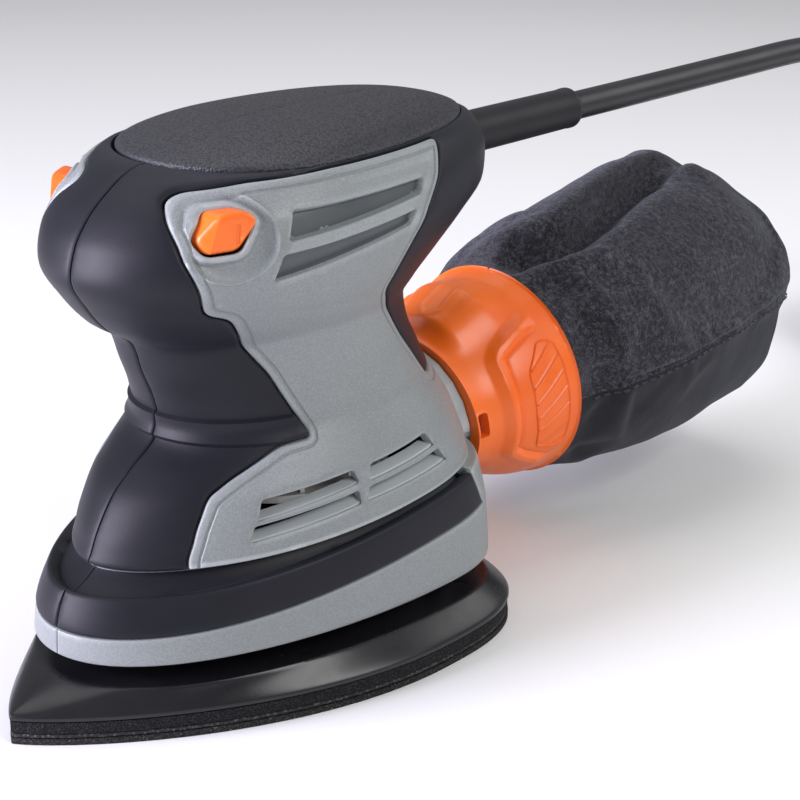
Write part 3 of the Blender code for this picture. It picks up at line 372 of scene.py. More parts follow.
def abrasive():
    """Dark grit with a few pale grains."""
    look = Look("abrasive_paper", 0.88, 0.0, 0.35)
    grit = look.cells(2300.0)
    fleck = look.noise(1700.0, 2.0)
    body = look.ramp(grit, ((0.15, (0.05, 0.045, 0.042)), (0.6, (0.006, 0.006, 0.006))))
    look.colour(look.blend(look.ramp(fleck, ((0.66, 0.0), (0.74, 0.7))), body, (0.26, 0.25, 0.24)))
    look.bump(look.ramp(grit, ((0.1, 1.0), (0.6, 0.0))), 0.16)
    return look.material


def hook_nylon():
    """The hook face under the foam, as a close field of loops."""
    look = Look("hook_nylon", 0.8, 0.0, 0.3)
    loops = look.cells(1100.0)
    look.colour(look.ramp(loops, ((0.1, (0.1, 0.1, 0.11)), (0.5, (0.02, 0.02, 0.022)))))
    look.bump(loops, 0.2)
    return look.material


def steel(name="steel", colour=(0.56, 0.56, 0.57)):
    """Metal with fine turned or drawn lines, in steel's colour or another's."""
    look = Look(name, 0.3, 1.0)
    lines = look.noise(260.0, 5.0, 0.6, stretch=(1.0, 1.0, 30.0))
    look.colour(look.ramp(lines, ((0.2, tuple(0.8 * c for c in colour)), (0.8, colour))))
    look.rough(lines, 0.2, 0.42)
    look.bump(lines, 0.01)
    return look.material


def laminated_steel():
    """The thin stacked sheets of the stator and the armature."""
    look = Look("laminated_steel", 0.42, 0.9)
    sheets = look.waves(310.0, "Z")
    look.colour(look.ramp(sheets, ((0.1, (0.1, 0.1, 0.11)), (0.6, (0.38, 0.38, 0.4)))))
    look.rough(look.noise(120.0), 0.32, 0.55)
    look.bump(sheets, 0.08)
    return look.material


def copper_wire():
    """Wound enamelled wire."""
    look = Look("copper_wire", 0.3, 0.85)
    wires = look.waves(420.0, "DIAGONAL", 1.5)
    look.colour(look.ramp(wires, ((0.1, (0.22, 0.06, 0.02)), (0.7, (0.8, 0.34, 0.13)))))
    look.rough(look.noise(200.0), 0.22, 0.4)
    look.bump(wires, 0.22)
    return look.material


def carbon():
    """The brushes: dull, with a fine grain."""
    look = Look("carbon", 0.7, 0.1)
    grain = look.noise(1500.0, 4.0)
    look.colour(look.ramp(grain, ((0.3, (0.008, 0.008, 0.008)), (0.7, (0.05, 0.05, 0.052)))))
    look.bump(grain, 0.04)
    return look.material


def nylon(name, light, dark, depth=0.02, gloss=0.38):
    """Moulded nylon in one colour, with a cloudy tone and a painted highlight along its edges."""
    look = Look(name, gloss, 0.0, 0.45)
    cloud = look.noise(60.0, 3.0)
    # Paler colour along the convex edges: a painted highlight.
    look.colour(look.blend(look.painted_edge_highlights(0.52, 0.66), look.ramp(cloud, ((0.3, dark), (0.7, light))),
                           tuple(min(1.0, 1.3 * c + 0.02) for c in light)))
    look.rough(look.noise(130.0), gloss - 0.03, gloss + 0.14)
    look.bump(look.noise(1600.0, 2.0), depth)
    return look.material


def cord_rubber():
    """The lead's satin jacket."""
    look = Look("cord_rubber", 0.42, 0.0, 0.5)
    broad = look.noise(26.0, 3.0)
    look.colour(look.ramp(broad, ((0.25, (0.010, 0.010, 0.012)), (0.75, (0.022, 0.022, 0.026)))))
    look.rough(look.noise(75.0, 4.0), 0.33, 0.5)
    look.bump(look.noise(1200.0, 2.0), 0.02)
    return look.material


def thread(name, colour):
    """Twisted sewing thread."""
    look = Look(name, 0.8, 0.0, 0.3)
    twist = look.waves(1900.0, "DIAGONAL")
    look.colour(look.ramp(twist, ((0.2, tuple(0.5 * c for c in colour)), (0.8, colour))))
    look.bump(twist, 0.08)
    look.sheen(0.3, 0.4)
    return look.material


# ---------------------------------------------------------------- stage and camera


def add_camera():
    """The viewpoint: ahead of the nose, to its left and above, 0.52 m from what it looks at."""
    data = bpy.data.cameras.new("camera")
    data.lens = 87.27
    data.sensor_width = 36.0
    camera = bpy.data.objects.new("camera", data)
    bpy.context.scene.collection.objects.link(camera)
    place = Vector((-0.3123, -0.3300, 0.2302))
    aim = Vector((0.0472, 0.0, 0.0482))
    camera.location = place
    camera.rotation_euler = (aim - place).to_track_quat("-Z", "Y").to_euler()
    bpy.context.scene.camera = camera


def add_light(name, place, aim, size, power, colour=(1.0, 1.0, 1.0)):
    data = bpy.data.lights.new(name, "AREA")
    data.shape = "RECTANGLE"
    data.size, data.size_y = size
    data.energy = power
    data.color = colour
    light = bpy.data.objects.new(name, data)
    bpy.context.scene.collection.objects.link(light)
    light.location = place
    light.rotation_euler = (Vector(aim) - Vector(place)).to_track_quat("-Z", "Y").to_euler()


def add_stage():
    """A flat pale floor, four soft lights and a pale sky."""
    mesh = bmesh.new()
    bmesh.ops.create_grid(mesh, x_segments=4, y_segments=4, size=3.0)
    data = bpy.data.meshes.new("floor")
    mesh.to_mesh(data)
    mesh.free()
    floor = bpy.data.objects.new("floor", data)
    bpy.context.scene.collection.objects.link(floor)
    look = Look("floor", 0.75, 0.0, 0.2)
    look.colour(look.ramp(look.noise(3.0), ((0.3, (0.86, 0.86, 0.86)), (0.7, (0.88, 0.88, 0.88)))))
    data.materials.append(look.material)
    world = bpy.context.scene.world or bpy.data.worlds.new("world")
    bpy.context.scene.world = world
    world.use_nodes = True
    sky = world.node_tree.nodes["Background"]
    sky.inputs["Color"].default_value = (0.93, 0.94, 0.97, 1.0)
    sky.inputs["Strength"].default_value = 0.30
    middle = (0.02, 0.0, 0.07)
    add_light("key", (0.10, -0.80, 0.62), middle, (0.45, 0.45), 4.6)
    add_light("nose", (-0.78, 0.38, 0.30), middle, (0.45, 0.5), 17.0, (0.86, 0.82, 1.0))
    add_light("top", (0.15, 0.35, 1.1), (0.1, 0.2, 0.0), (1.2, 0.9), 5.4)
    add_light("tail", (0.75, -0.35, 0.5), (0.12, 0.0, 0.05), (0.4, 0.4), 1.2)
    bpy.context.scene.view_settings.view_transform = "Standard"


# ---------------------------------------------------------------- shapes


def smooth_table(rows):
    """A smooth function through rows of (place, values...) that never overshoots them."""
    table = np.array(rows, float)
    at, values = table[:, 0], table[:, 1:]
    step = np.diff(at)[:, None]
    slope = np.diff(values, axis=0) / step
    tangent = np.zeros_like(values)
    before, after = slope[:-1], slope[1:]
    same = before * after > 0
    total = np.where(same, before + after, 1.0)
    tangent[1:-1] = np.where(same, 2.0 * before * after / total, 0.0)
    tangent[0], tangent[-1] = slope[0], slope[-1]

    def read(x):
        x = np.clip(np.asarray(x, float), at[0], at[-1])
        i = np.clip(np.searchsorted(at, x) - 1, 0, len(at) - 2)
        width = (at[i + 1] - at[i])[:, None]
        s = (x - at[i])[:, None] / width
        a = (1 + 2 * s) * (1 - s) ** 2 * values[i] + s * (1 - s) ** 2 * width * tangent[i]
        b = s * s * (3 - 2 * s) * values[i + 1] - s * s * (1 - s) * width * tangent[i + 1]
        return a + b

    return read


def outline_place(c, nose, tail, half, widest, p, q, r):
    """X and half width on a flat outline, at the cosine of a turn from the nose."""
    front, rear = np.clip(c, 0.0, 1.0), np.clip(-c, 0.0, 1.0)
    x = np.where(c > 0, widest - (widest - nose) * front, widest + (tail - widest) * rear)
    y_front = np.clip(1 - front**p, 0, 1) ** (1 / q)
    y_rear = np.clip(1 - rear**r, 0, 1) ** (1 / r)
    return x, half * np.where(c > 0, y_front, y_rear)


class Body:
    """The body's surface on one side. A place on it is (u, v): turn from the nose times ARC, and
    the level's height at the nose."""

    def __init__(self, side):
        self.side = side
        self.read = smooth_table(LEVELS)
        self.foot, self.top = LEVELS[0][0], LEVELS[-1][0]

    def point(self, uv):
        turn = np.clip(uv[:, 0] / ARC, 0.0, math.pi)
        rise, nose, tail, *rest = self.read(uv[:, 1]).T
        x, y = outline_place(np.cos(turn), nose, tail, *rest)
        along = np.clip((x - nose) / (tail - nose), 0, 1)
        z = uv[:, 1] + rise * along**2 * (3 - 2 * along)
        return np.stack((x, self.side * np.maximum(y, 0.12), z), 1)

    def place(self, xz):
        """(u, v) of points given in X and Z, kept on the surface."""
        xz = np.asarray(xz, float)
        v = xz[:, 1].copy()
        for _ in range(20):
            rise, nose, tail, half, widest = self.read(v).T[:5]
            along = np.clip((xz[:, 0] - nose) / (tail - nose), 0, 1)
            v = np.clip(xz[:, 1] - rise * along**2 * (3 - 2 * along), self.foot, self.top)
        front = np.clip((widest - xz[:, 0]) / (widest - nose), -1, 1)
        rear = np.clip((xz[:, 0] - widest) / (tail - widest), -1, 1)
        turn = np.where(xz[:, 0] < widest, np.arccos(front), math.pi - np.arccos(rear))
        return np.stack((turn * ARC, v), 1)

    def normal(self, uv):
        step = 0.15
        u = np.clip(uv[:, 0], 1.0, TAIL_SEAM - 1.0)
        v = np.clip(uv[:, 1], self.foot + step, self.top - step)
        wide = self.point(np.stack((u + step, v), 1)) - self.point(np.stack((u - step, v), 1))
        high = self.point(np.stack((u, v + step), 1)) - self.point(np.stack((u, v - step), 1))
        normal = np.cross(wide, high) * -self.side
        normal /= np.linalg.norm(normal, axis=1)[:, None]
        seam = (uv[:, 0] < 1e-6) | (uv[:, 0] > TAIL_SEAM - 1e-6)
        normal[seam, 1] = 0.0
        return normal


class Sleeve:
    """A tapered round surface along the dust port. A place on it is (u, v): the angle from the top
    towards one side times reach, and the place along the axis."""

    def __init__(self, rows, side, reach):
        self.rows = smooth_table(rows)
        self.side = side
        self.reach = reach
        self.foot, self.top = rows[0][0], rows[-1][0]

    def point(self, uv):
        angle = uv[:, 0] / self.reach
        above, below, half = self.rows(uv[:, 1]).T
        up = np.cos(angle)
        high = np.where(up > 0, above, below) * up
        return port_point(uv[:, 1], self.side * half * np.sin(angle), high)

    def normal(self, uv):
        step = 0.1
        v = np.clip(uv[:, 1], self.foot + step, self.top - step)
        wide = self.point(np.stack((uv[:, 0] + step, v), 1)) - self.point(np.stack((uv[:, 0] - step, v), 1))
        high = self.point(np.stack((uv[:, 0], v + step), 1)) - self.point(np.stack((uv[:, 0], v - step), 1))
        normal = np.cross(wide, high) * self.side
        return normal / np.linalg.norm(normal, axis=1)[:, None]


class Plane:
    """A flat slanting surface on one side; a place on it is (x, z). Its walls run along Y."""

    def __init__(self, side, face, shift):
        self.side, self.face, self.shift = side, face, shift
        self.outward = np.array((0.0, side, 0.0))

    def point(self, uv):
        start, middle, slope = self.face
        y = self.side * (start + slope * (uv[:, 0] - middle)) + self.shift
        return np.stack((uv[:, 0], y, uv[:, 1]), 1)

    def normal(self, uv):
        normal = np.array((-self.face[2], float(self.side), 0.0))
        normal /= np.linalg.norm(normal)
        return np.tile(normal, (len(uv), 1))


def port_point(along, across, above):
    """Points given along the port's axis, to the right of it and above it."""
    c, s = math.cos(PORT_TILT), math.sin(PORT_TILT)
    x = PORT_ORIGIN[0] + c * along - s * above
    z = PORT_ORIGIN[2] + s * along + c * above
    return np.stack(np.broadcast_arrays(x, PORT_ORIGIN[1] + across, z), 1)


def rounded(outline, radius, steps=5):
    """A closed outline with its corners turned into arcs of about this radius."""
    points = np.array(outline, float)
    result = []
    for before, here, after in zip(np.roll(points, 1, 0), points, np.roll(points, -1, 0)):
        back, on = before - here, after - here
        reach = min(radius, 0.42 * np.hypot(*back), 0.42 * np.hypot(*on))
        start = here + back / np.hypot(*back) * reach
        end = here + on / np.hypot(*on) * reach
        for t in np.linspace(0.0, 1.0, steps):
            result.append((1 - t) ** 2 * start + 2 * t * (1 - t) * here + t * t * end)
    return np.array(result)


def spaced(outline, step, closed=True):
    """The same line with a point about every step."""
    points = np.array(outline, float)
    if closed:
        points = np.vstack((points, points[:1]))
    lengths = np.hypot(*np.diff(points, axis=0).T)
    place = np.concatenate(([0.0], np.cumsum(lengths)))
    count = max(3, int(round(place[-1] / step)))
    want = np.linspace(0.0, place[-1], count + 1)
    result = np.stack([np.interp(want, place, points[:, k]) for k in (0, 1)], 1)
    return result[:-1] if closed else result


def shifted(outline, distance):
    """A closed outline moved outwards (or inwards, below zero) along its own normals."""
    points = np.array(outline, float)
    on = np.roll(points, -1, 0) - np.roll(points, 1, 0)
    on /= np.maximum(np.hypot(*on.T), 1e-9)[:, None]
    area = np.sum(points[:, 0] * np.roll(points[:, 1], -1) - np.roll(points[:, 0], -1) * points[:, 1])
    outward = np.stack((on[:, 1], -on[:, 0]), 1) * (1.0 if area > 0 else -1.0)
    return points + outward * distance


def inside(points, outline):
    """Which points lie inside a closed outline."""
    result = np.zeros(len(points), bool)
    x, y = points[:, 0], points[:, 1]
    for (ax, ay), (bx, by) in zip(outline, np.roll(outline, -1, 0)):
        crosses = (ay > y) != (by > y)
        result ^= crosses & (x < (bx - ax) * (y - ay) / ((by - ay) or 1e-12) + ax)
    return result


def distance(points, line, closed=True):
    """How far each point is from a line, in two or three dimensions."""
    line = np.asarray(line, float)
    ends = np.roll(line, -1, 0) if closed else line[1:]
    starts = line if closed else line[:-1]
    best = np.full(len(points), 1e9)
    for a, b in zip(starts, ends):
        on = b - a
        t = np.clip((points - a) @ on / max(on @ on, 1e-12), 0, 1)
        best = np.minimum(best, np.linalg.norm(points - a - t[:, None] * on, axis=1))
    return best


def signed(points, outline):
    """Distance to a closed outline, below zero inside it."""
    return distance(points, outline) * np.where(inside(points, outline), -1.0, 1.0)


def make_mesh(name, points, faces, body, material, slot, sharp=35.0):
    """A mesh piece from points in millimetres that rides on a body."""
    data = bpy.data.meshes.new(name)
    data.from_pydata((np.asarray(points) * MM).tolist(), [], [list(map(int, f)) for f in faces])
    data.validate()
    data.materials.append(material)
    data.polygons.foreach_set("use_smooth", [True] * len(data.polygons))
    data.set_sharp_from_angle(angle=math.radians(sharp))
    item = bpy.data.objects.new(name, data)
    bpy.context.scene.collection.objects.link(item)
    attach(item, body)
    return item


def open_edges(faces):
    """The edges of triangles that no neighbour runs back along."""
    sides = np.vstack((faces[:, :2], faces[:, 1:], faces[:, [2, 0]]))
    edges = dict.fromkeys(map(tuple, sides.tolist()))
    return [(a, b) for a, b in edges if (b, a) not in edges]


def between_rings(rings, around, first=0, turned=False):
    """The quads that join closed rings of points lying one after another, or the same quads
    turned over."""
    faces = []
    for k in range(rings - 1):
        low = first + k * around
        high = low + around
        for i in range(around):
            j = (i + 1) % around
            quad = (low + i, high + i, high + j, low + j)
            faces.append((quad[0], quad[3], quad[2], quad[1]) if turned else quad)
    return faces


def joined(pieces):
    """Several pairs of points and faces as one pair."""
    points, faces = [], []
    for piece, sides in pieces:
        start = sum(len(p) for p in points)
        points.append(piece)
        faces += [tuple(start + k for k in f) for f in sides]
    return np.vstack(points), faces


def lay(surface, box, lines, keep, relief, grid, wall):
    """A skin on a surface, as points and faces.

    box is the (u, v) rectangle to cover; lines are (u, v) lines that the faces follow, each with
    True where it is closed; keep tells which places belong; relief gives the height over the
    surface at each place; wall is how deep the skin's edges turn in."""
    (u0, v0), (u1, v1) = box
    verts = [np.zeros((0, 2))]
    edges = []
    count = 0
    rim = np.array(((u0, v0), (u1, v0), (u1, v1), (u0, v1)))
    for line, closed in [(spaced(rim, grid), True)] + list(lines):
        line = np.clip(line, (u0, v0), (u1, v1))
        n = len(line)
        verts.append(line)
        edges += [(count + i, count + i + 1) for i in range(n - 1)]
        if closed:
            edges.append((count + n - 1, count))
        count += n
    fixed = np.vstack(verts)
    fill = []
    for i, v in enumerate(np.arange(v0 + grid / 2, v1, grid * 0.87)):
        u = np.arange(u0 + grid * (0.5 + 0.5 * (i % 2)), u1, grid)
        fill.append(np.column_stack((u, np.full(len(u), v))))
    fill = np.vstack(fill)
    fill = fill[keep(fill)]
    near = np.full(len(fill), 1e9)
    for start in range(0, len(fixed), 400):
        chunk = fixed[start:start + 400]
        gap = np.linalg.norm(fill[:, None, :] - chunk[None, :, :], axis=2).min(1)
        near = np.minimum(near, gap)
    fill = fill[near > 0.45 * grid]
    flat = [Vector(p) for p in np.vstack((fixed, fill))]
    flat, _, faces, _, _, _ = delaunay_2d_cdt(flat, edges, [], 0, 1e-4)
    uv = np.array([tuple(p) for p in flat])
    faces = np.array([f for f in faces if len(f) == 3])
    faces = faces[keep(uv[faces].mean(1))]
    used, faces = np.unique(faces, return_inverse=True)
    faces = faces.reshape(-1, 3)
    uv = uv[used]
    base, normal = surface.point(uv), surface.normal(uv)
    points = base + normal * relief(uv, base)[:, None]
    a, b, c = (points[faces[:, k]] for k in range(3))
    if (np.cross(b - a, c - a) * normal[faces[:, 0]]).sum() < 0:
        faces = faces[:, ::-1]
    if wall:
        edge = open_edges(faces)
        ring = sorted({k for pair in edge for k in pair})
        low = {k: len(points) + i for i, k in enumerate(ring)}
        way = getattr(surface, "outward", None)
        points = np.vstack((points, points[ring] - (normal[ring] if way is None else way) * wall))
        faces = [tuple(f) for f in faces] + [(b, a, low[a], low[b]) for a, b in edge]
    return points, faces


def edge_round(gap, radius):
    """How far a rounded edge falls below the surface, at a distance from it."""
    t = np.clip(1.0 - gap / radius, 0.0, 1.0)
    return -radius * (1.0 - np.sqrt(np.maximum(0.0, 1.0 - t * t)))


def rim_lines(body, outline, offsets, step=0.8):
    """(u, v) lines at offsets from an outline given in X and Z."""
    even = spaced(outline, step)
    return [(body.place(shifted(even, d)), True) for d in offsets]


def level_lines(levels, step=1.2, u1=TAIL_SEAM):
    """Lines from the nose seam round to u1 at each level."""
    return [(np.array([(u, v) for u in np.arange(0.0, u1 + step, step)]), False) for v in levels]


def seam_lines(v0, v1, offsets, step=1.2):
    """Lines up the body at offsets from the nose seam and from the tail seam."""
    lines = []
    for d in offsets:
        for u in (d, TAIL_SEAM - d):
            lines.append((np.array([(u, v) for v in np.arange(v0, v1 + step, step)]), False))
    return lines


# ---------------------------------------------------------------- body pieces


PANEL_EDGE = spaced(rounded(PANEL, 2.2), 0.9)


def seam_gap(uv):
    """Distance from the seams at the nose and the tail."""
    return np.minimum(uv[:, 0], TAIL_SEAM - uv[:, 0]) * 0.9


def sleeve_way(base):
    """Distance outside the round way for the cord's sleeve, and far off ahead of the tail."""
    gap = np.hypot(base[:, 1], base[:, 2] - SLEEVE_WAY[0]) - SLEEVE_WAY[1]
    return np.where(base[:, 0] > 40.0, gap, FAR)


def port_way(base):
    """Distance outside the round way for the dust port, and far off ahead of the tail."""
    c, s = math.cos(PORT_TILT), math.sin(PORT_TILT)
    above = -(base[:, 0] - PORT_ORIGIN[0]) * s + (base[:, 2] - PORT_ORIGIN[2]) * c
    gap = np.hypot(base[:, 1], above) - PORT_WAY[1]
    return np.where(base[:, 0] > 20.0, gap, FAR)


def round_way_line(body, centre_z, radius):
    """The (u, v) line where a round way along X leaves the tail, on one side."""
    angle = np.linspace(-math.pi / 2, math.pi / 2, 25)
    wide, high = radius * np.cos(angle), centre_z + radius * np.sin(angle)
    v = high.copy()
    for _ in range(12):
        low, top = np.full(25, TAIL_SEAM / 2), np.full(25, TAIL_SEAM)
        for _ in range(22):
            u = (low + top) / 2
            outside = np.abs(body.point(np.stack((u, v), 1))[:, 1]) > wide
            low, top = np.where(outside, u, low), np.where(outside, top, u)
        v = v - (body.point(np.stack((u, v), 1))[:, 2] - high) * 0.9
        v = np.clip(v, body.foot, body.top)
    return np.stack((u, v), 1)


def grip_covers(look):
    """The black overmoulded grip: everything outside the grey panel, with a raised ring at the
    waist and a seam down the nose."""
    for side, word in SIDES:
        body = Body(side)
        hole = shifted(PANEL_EDGE, 0.28)
        ring = ((62.5, 0.0), (63.0, 1.05), (68.4, 1.05), (68.9, 0.0))

        def keep(uv):
            base = body.point(uv)
            return ~inside(base[:, [0, 2]], hole) & (sleeve_way(base) > 0)

        def relief(uv, base):
            xz = base[:, [0, 2]]
            gap = np.minimum(np.abs(signed(xz, hole)), seam_gap(uv))
            gap = np.minimum(gap, np.minimum(uv[:, 1] - COVER_FOOT, COVER_TOP - uv[:, 1]) + 0.05)
            height = edge_round(gap, 0.8)
            band = np.interp(uv[:, 1], [r[0] for r in ring], [r[1] for r in ring])
            return height + np.where(base[:, 0] < 0.0, band, 0.0)

        lines = rim_lines(body, PANEL_EDGE, (0.28, 0.45, 0.75, 1.15))
        rims = (COVER_FOOT + 0.3, COVER_FOOT + 0.9, COVER_TOP - 0.4)
        lines += level_lines([r[0] for r in ring] + list(rims), u1=75.0)
        lines += seam_lines(COVER_FOOT, COVER_TOP, (0.15, 0.45, 1.0))
        lines.append((round_way_line(body, *SLEEVE_WAY), False))
        box = ((0.0, COVER_FOOT), (TAIL_SEAM, COVER_TOP))
        points, faces = lay(body, box, lines, keep, relief, 1.5, 2.0)
        item = make_mesh(f"grip_overmould_{word}", points, faces, "housing", look, "black_grip")
        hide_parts(f"grip_cover_{word}")


def side_panels(look, shade):
    """The grey panels: a raised border, recessed upper louvres, open lower vents with a rib and
    fins between, and a dished seat round the switch button."""
    edge = PANEL_EDGE
    open_slots = [spaced(rounded(s, 0.7), 0.7) for s in OPEN_SLOTS]
    blind_slots = [spaced(rounded(s, 0.8), 0.8) for s in BLIND_SLOTS]
    button = spaced(rounded(BUTTON, 1.4), 0.6)
    hole = shifted(button, 0.25)
    x0, z0, reach = BUTTON_DISH
    turn = np.linspace(0, 2 * math.pi, 81)[:-1]
    dish = np.stack((x0 + reach * np.cos(turn), z0 + reach * np.sin(turn)), 1)
    for side, word in SIDES:
        body = Body(side)

        def keep(uv):
            base = body.point(uv)
            xz = base[:, [0, 2]]
            cut = inside(xz, hole)
            for slot in open_slots:
                cut |= inside(xz, slot)
            return inside(xz, edge) & ~cut & (port_way(base) > 0)

        def relief(uv, base):
            xz = base[:, [0, 2]]
            border = -signed(xz, edge)
            height = edge_round(np.minimum(np.abs(border), seam_gap(uv)), 0.7)
            height += np.interp(border, (1.5, 1.75, 2.0, 2.25), (0.0, -0.3, -0.3, 0.0))
            for slot in blind_slots:
                height += np.interp(signed(xz, slot), (-0.6, -0.3, 0.0, 0.35), (-1.9, -1.1, -0.25, 0.0))
            for slot in open_slots:
                height += np.interp(signed(xz, slot), (0.0, 0.7), (-0.45, 0.0))
            rim = np.hypot(xz[:, 0] - x0, xz[:, 1] - z0) - reach
            seat = signed(xz, hole)
            dished = np.interp(rim, (-2.6, -0.5, 0.0, 0.3, 0.7), (-1.6, -0.7, 0.1, 0.38, 0.0))
            ringed = np.interp(seat, (0.0, 0.35, 1.2, 2.2), (-0.35, 0.05, 0.0, -1.5))
            seated = np.where(rim > 0.7, 0.0, np.where(seat < 2.2, np.maximum(ringed, dished), dished))
            height += seated * np.interp(border, (0.9, 2.4), (0.0, 1.0))
            for line in CREASES:
                height += np.interp(distance(xz, np.array(line), closed=False), (0.0, 0.6), (-0.2, 0.0))
            return height

        lines = rim_lines(body, edge, (0.0, -0.15, -0.4, -0.75, -1.5, -1.75, -2.0, -2.25))
        for slot in open_slots:
            lines += rim_lines(body, slot, (0.0, 0.3, 0.7), 0.7)
        for slot in blind_slots:
            lines += rim_lines(body, slot, (0.35, 0.0, -0.3, -0.6), 0.5)
        lines += rim_lines(body, hole, (0.0, 0.35, 1.2, 2.2), 0.6)
        lines += rim_lines(body, dish, (-0.5, 0.0, 0.3, 0.7), 0.8)
        lines.append((round_way_line(body, *PORT_WAY), False))
        box = ((5.0, COVER_FOOT), (TAIL_SEAM, 128.4))
        points, faces = lay(body, box, lines, keep, relief, 1.15, 2.0)
        item = make_mesh(f"vented_panel_{word}", points, faces, "housing", look, "grey_plastic")
        # The blind slots' floors take the darker grey material: painted shade for the depth of the recess.
        item.data.materials.append(shade)
        centres = np.array([tuple(f.center) for f in item.data.polygons])[:, [0, 2]] / MM
        floor = np.zeros(len(centres), bool)
        for slot in blind_slots:
            floor |= inside(centres, shifted(slot, -0.6))
        item.data.polygons.foreach_set("material_index", floor.astype(int).tolist())
        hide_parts(f"side_panel_{word}")
        vent_fins(body, word, look)


def vent_fins(body, word, look):
    """A sloping louvre behind the foot of each open vent."""
    points, faces = [], []
    for number, slot in enumerate(OPEN_SLOTS):
        top_start, top_end, low_end, low_start = (np.array(p) for p in slot)
        rows = []
        tall = 0.62 if number == 0 else 1.0  # the first vent is more open
        for depth, share in ((1.0, 0.0), (1.0, 0.14 * tall), (3.9, 0.6 * tall), (3.9, 0.48 * tall)):
            start = low_start + (top_start - low_start) * share
            end = low_end + (top_end - low_end) * share
            xz = np.stack([start + (end - start) * t for t in np.linspace(-0.02, 1.02, 17)])
            uv = body.place(xz)
            rows.append(body.point(uv) - body.normal(uv) * depth)
        base = sum(len(p) for p in points)
        count = len(rows[0])
        for k in range(4):
            for i in range(count - 1):
                a, b = base + k * count + i, base + ((k + 1) % 4) * count + i
                faces.append((a, a + 1, b + 1, b))
        faces.append([base + k * count for k in range(4)])
        faces.append([base + k * count + count - 1 for k in (3, 2, 1, 0)])
        points += rows
    make_mesh(f"vent_louvres_{word}", np.vstack(points), faces, "housing", look, "grey_plastic")


def inner_housings(look):
    """The inner shell that shows in the gaps, grey plastic set darker than the panels as painted shade, with
    its air window and the button's hole.
    """
    window = np.array(AIR_WINDOW, float)
    button = shifted(spaced(BUTTON, 1.5), 1.4)
    for side, word in SIDES:
        body = Body(side)

        def keep(uv):
            base = body.point(uv)
            xz = base[:, [0, 2]]
            blocked = inside(xz, window) | inside(xz, button)
            return ~blocked & (port_way(base) > 0) & (sleeve_way(base) > 0)

        def relief(uv, base):
            return np.interp(uv[:, 1], (30.0, 33.5, 37.0, 38.0, 126.0), (-3.4, -4.2, -4.2, -2.4, -2.4))

        lines = [(body.place(spaced(window, 1.5)), True), (body.place(button), True)]
        lines.append((round_way_line(body, *SLEEVE_WAY), False))
        lines.append((round_way_line(body, *PORT_WAY), False))
        lines += level_lines((33.5, 37.0, 38.0), 2.0)
        box = ((0.0, 30.0), (TAIL_SEAM, 127.0))
        points, faces = lay(body, box, lines, keep, relief, 2.6, 0.0)
        item = make_mesh(f"inner_shell_{word}", points, faces, "housing", look, "grey_plastic")
        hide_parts(f"housing_{word}")


def bumper_end(z):
    """X of the slanted end of the rubber bumper at a height."""
    (x0, z0), (x1, z1) = BUMPER_END
    return x0 + (x1 - x0) * (z - z0) / (z1 - z0)


def end_line(body, shift):
    """The (u, v) line along the bumper's end, moved towards the tail."""
    z = np.arange(28.0, 48.1, 0.8)
    return body.place(np.stack((bumper_end(z) + shift, z), 1))


def skirts(look, rubber):
    """The grey skirt with its raised rear block, and the rubber bumper round the front of it."""
    for side, word in SIDES:
        body = Body(side)

        def keep(uv):
            base = body.point(uv)
            behind = base[:, 0] - bumper_end(base[:, 2]) > 0.15
            wanted = (uv[:, 1] < BUMPER_FOOT - 0.05) | (behind & (uv[:, 1] < COVER_FOOT - 0.12))
            return wanted & (port_way(base) > 0)

        def relief(uv, base):
            above = uv[:, 1] - SKIRT_FOOT
            behind = base[:, 0] - bumper_end(base[:, 2]) - 0.15
            top = np.where(behind > 0, 9.0, BUMPER_FOOT - 0.05 - uv[:, 1])
            side_gap = np.where(uv[:, 1] > BUMPER_FOOT, np.abs(behind), 9.0)
            gap = np.minimum(np.minimum(above + 0.02, np.minimum(top, side_gap)), seam_gap(uv))
            return edge_round(gap, 0.7) - 0.15

        lines = level_lines((17.85, 18.1, 18.5, BUMPER_FOOT - 0.05, BUMPER_FOOT - 0.35, BUMPER_FOOT - 0.8))
        lines += level_lines((COVER_FOOT - 0.12,))
        lines += seam_lines(SKIRT_FOOT, COVER_FOOT, (0.15, 0.45, 0.9))
        lines += [(end_line(body, d), False) for d in (0.15, 0.35, 0.8)]
        lines.append((round_way_line(body, *PORT_WAY), False))
        box = ((0.0, SKIRT_FOOT), (TAIL_SEAM, COVER_FOOT))
        points, faces = lay(body, box, lines, keep, relief, 1.5, 2.4)
        make_mesh(f"skirt_{word}", points, faces, "housing", look, "grey_plastic")

        def kept(uv):
            base = body.point(uv)
            return bumper_end(base[:, 2]) - base[:, 0] > 0.15

        def raised(uv, base):
            gap = np.minimum(uv[:, 1] - BUMPER_FOOT, BUMPER_TOP - uv[:, 1]) + 0.02
            gap = np.minimum(gap, bumper_end(base[:, 2]) - base[:, 0] - 0.15)
            band = edge_round(np.minimum(np.maximum(gap, 0.0), seam_gap(uv)), 0.9) + 0.1
            return np.where(uv[:, 1] > BUMPER_TOP + 0.03, -3.1, band)

        lines = level_lines((24.4, 24.7, 25.1, 32.2, 32.7, 33.0, BUMPER_TOP, BUMPER_TOP + 0.06))
        lines += seam_lines(BUMPER_FOOT, BUMPER_TOP, (0.15, 0.45, 0.9))
        lines += [(end_line(body, -d), False) for d in (0.15, 0.35, 0.9)]
        box = ((0.0, BUMPER_FOOT), (TAIL_SEAM, 38.3))
        points, faces = lay(body, box, lines, kept, raised, 1.5, 3.0)
        item = make_mesh(f"rubber_bumper_{word}", points, faces, "housing", rubber, "bumper_rubber")
        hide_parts(f"bumper_{word}")


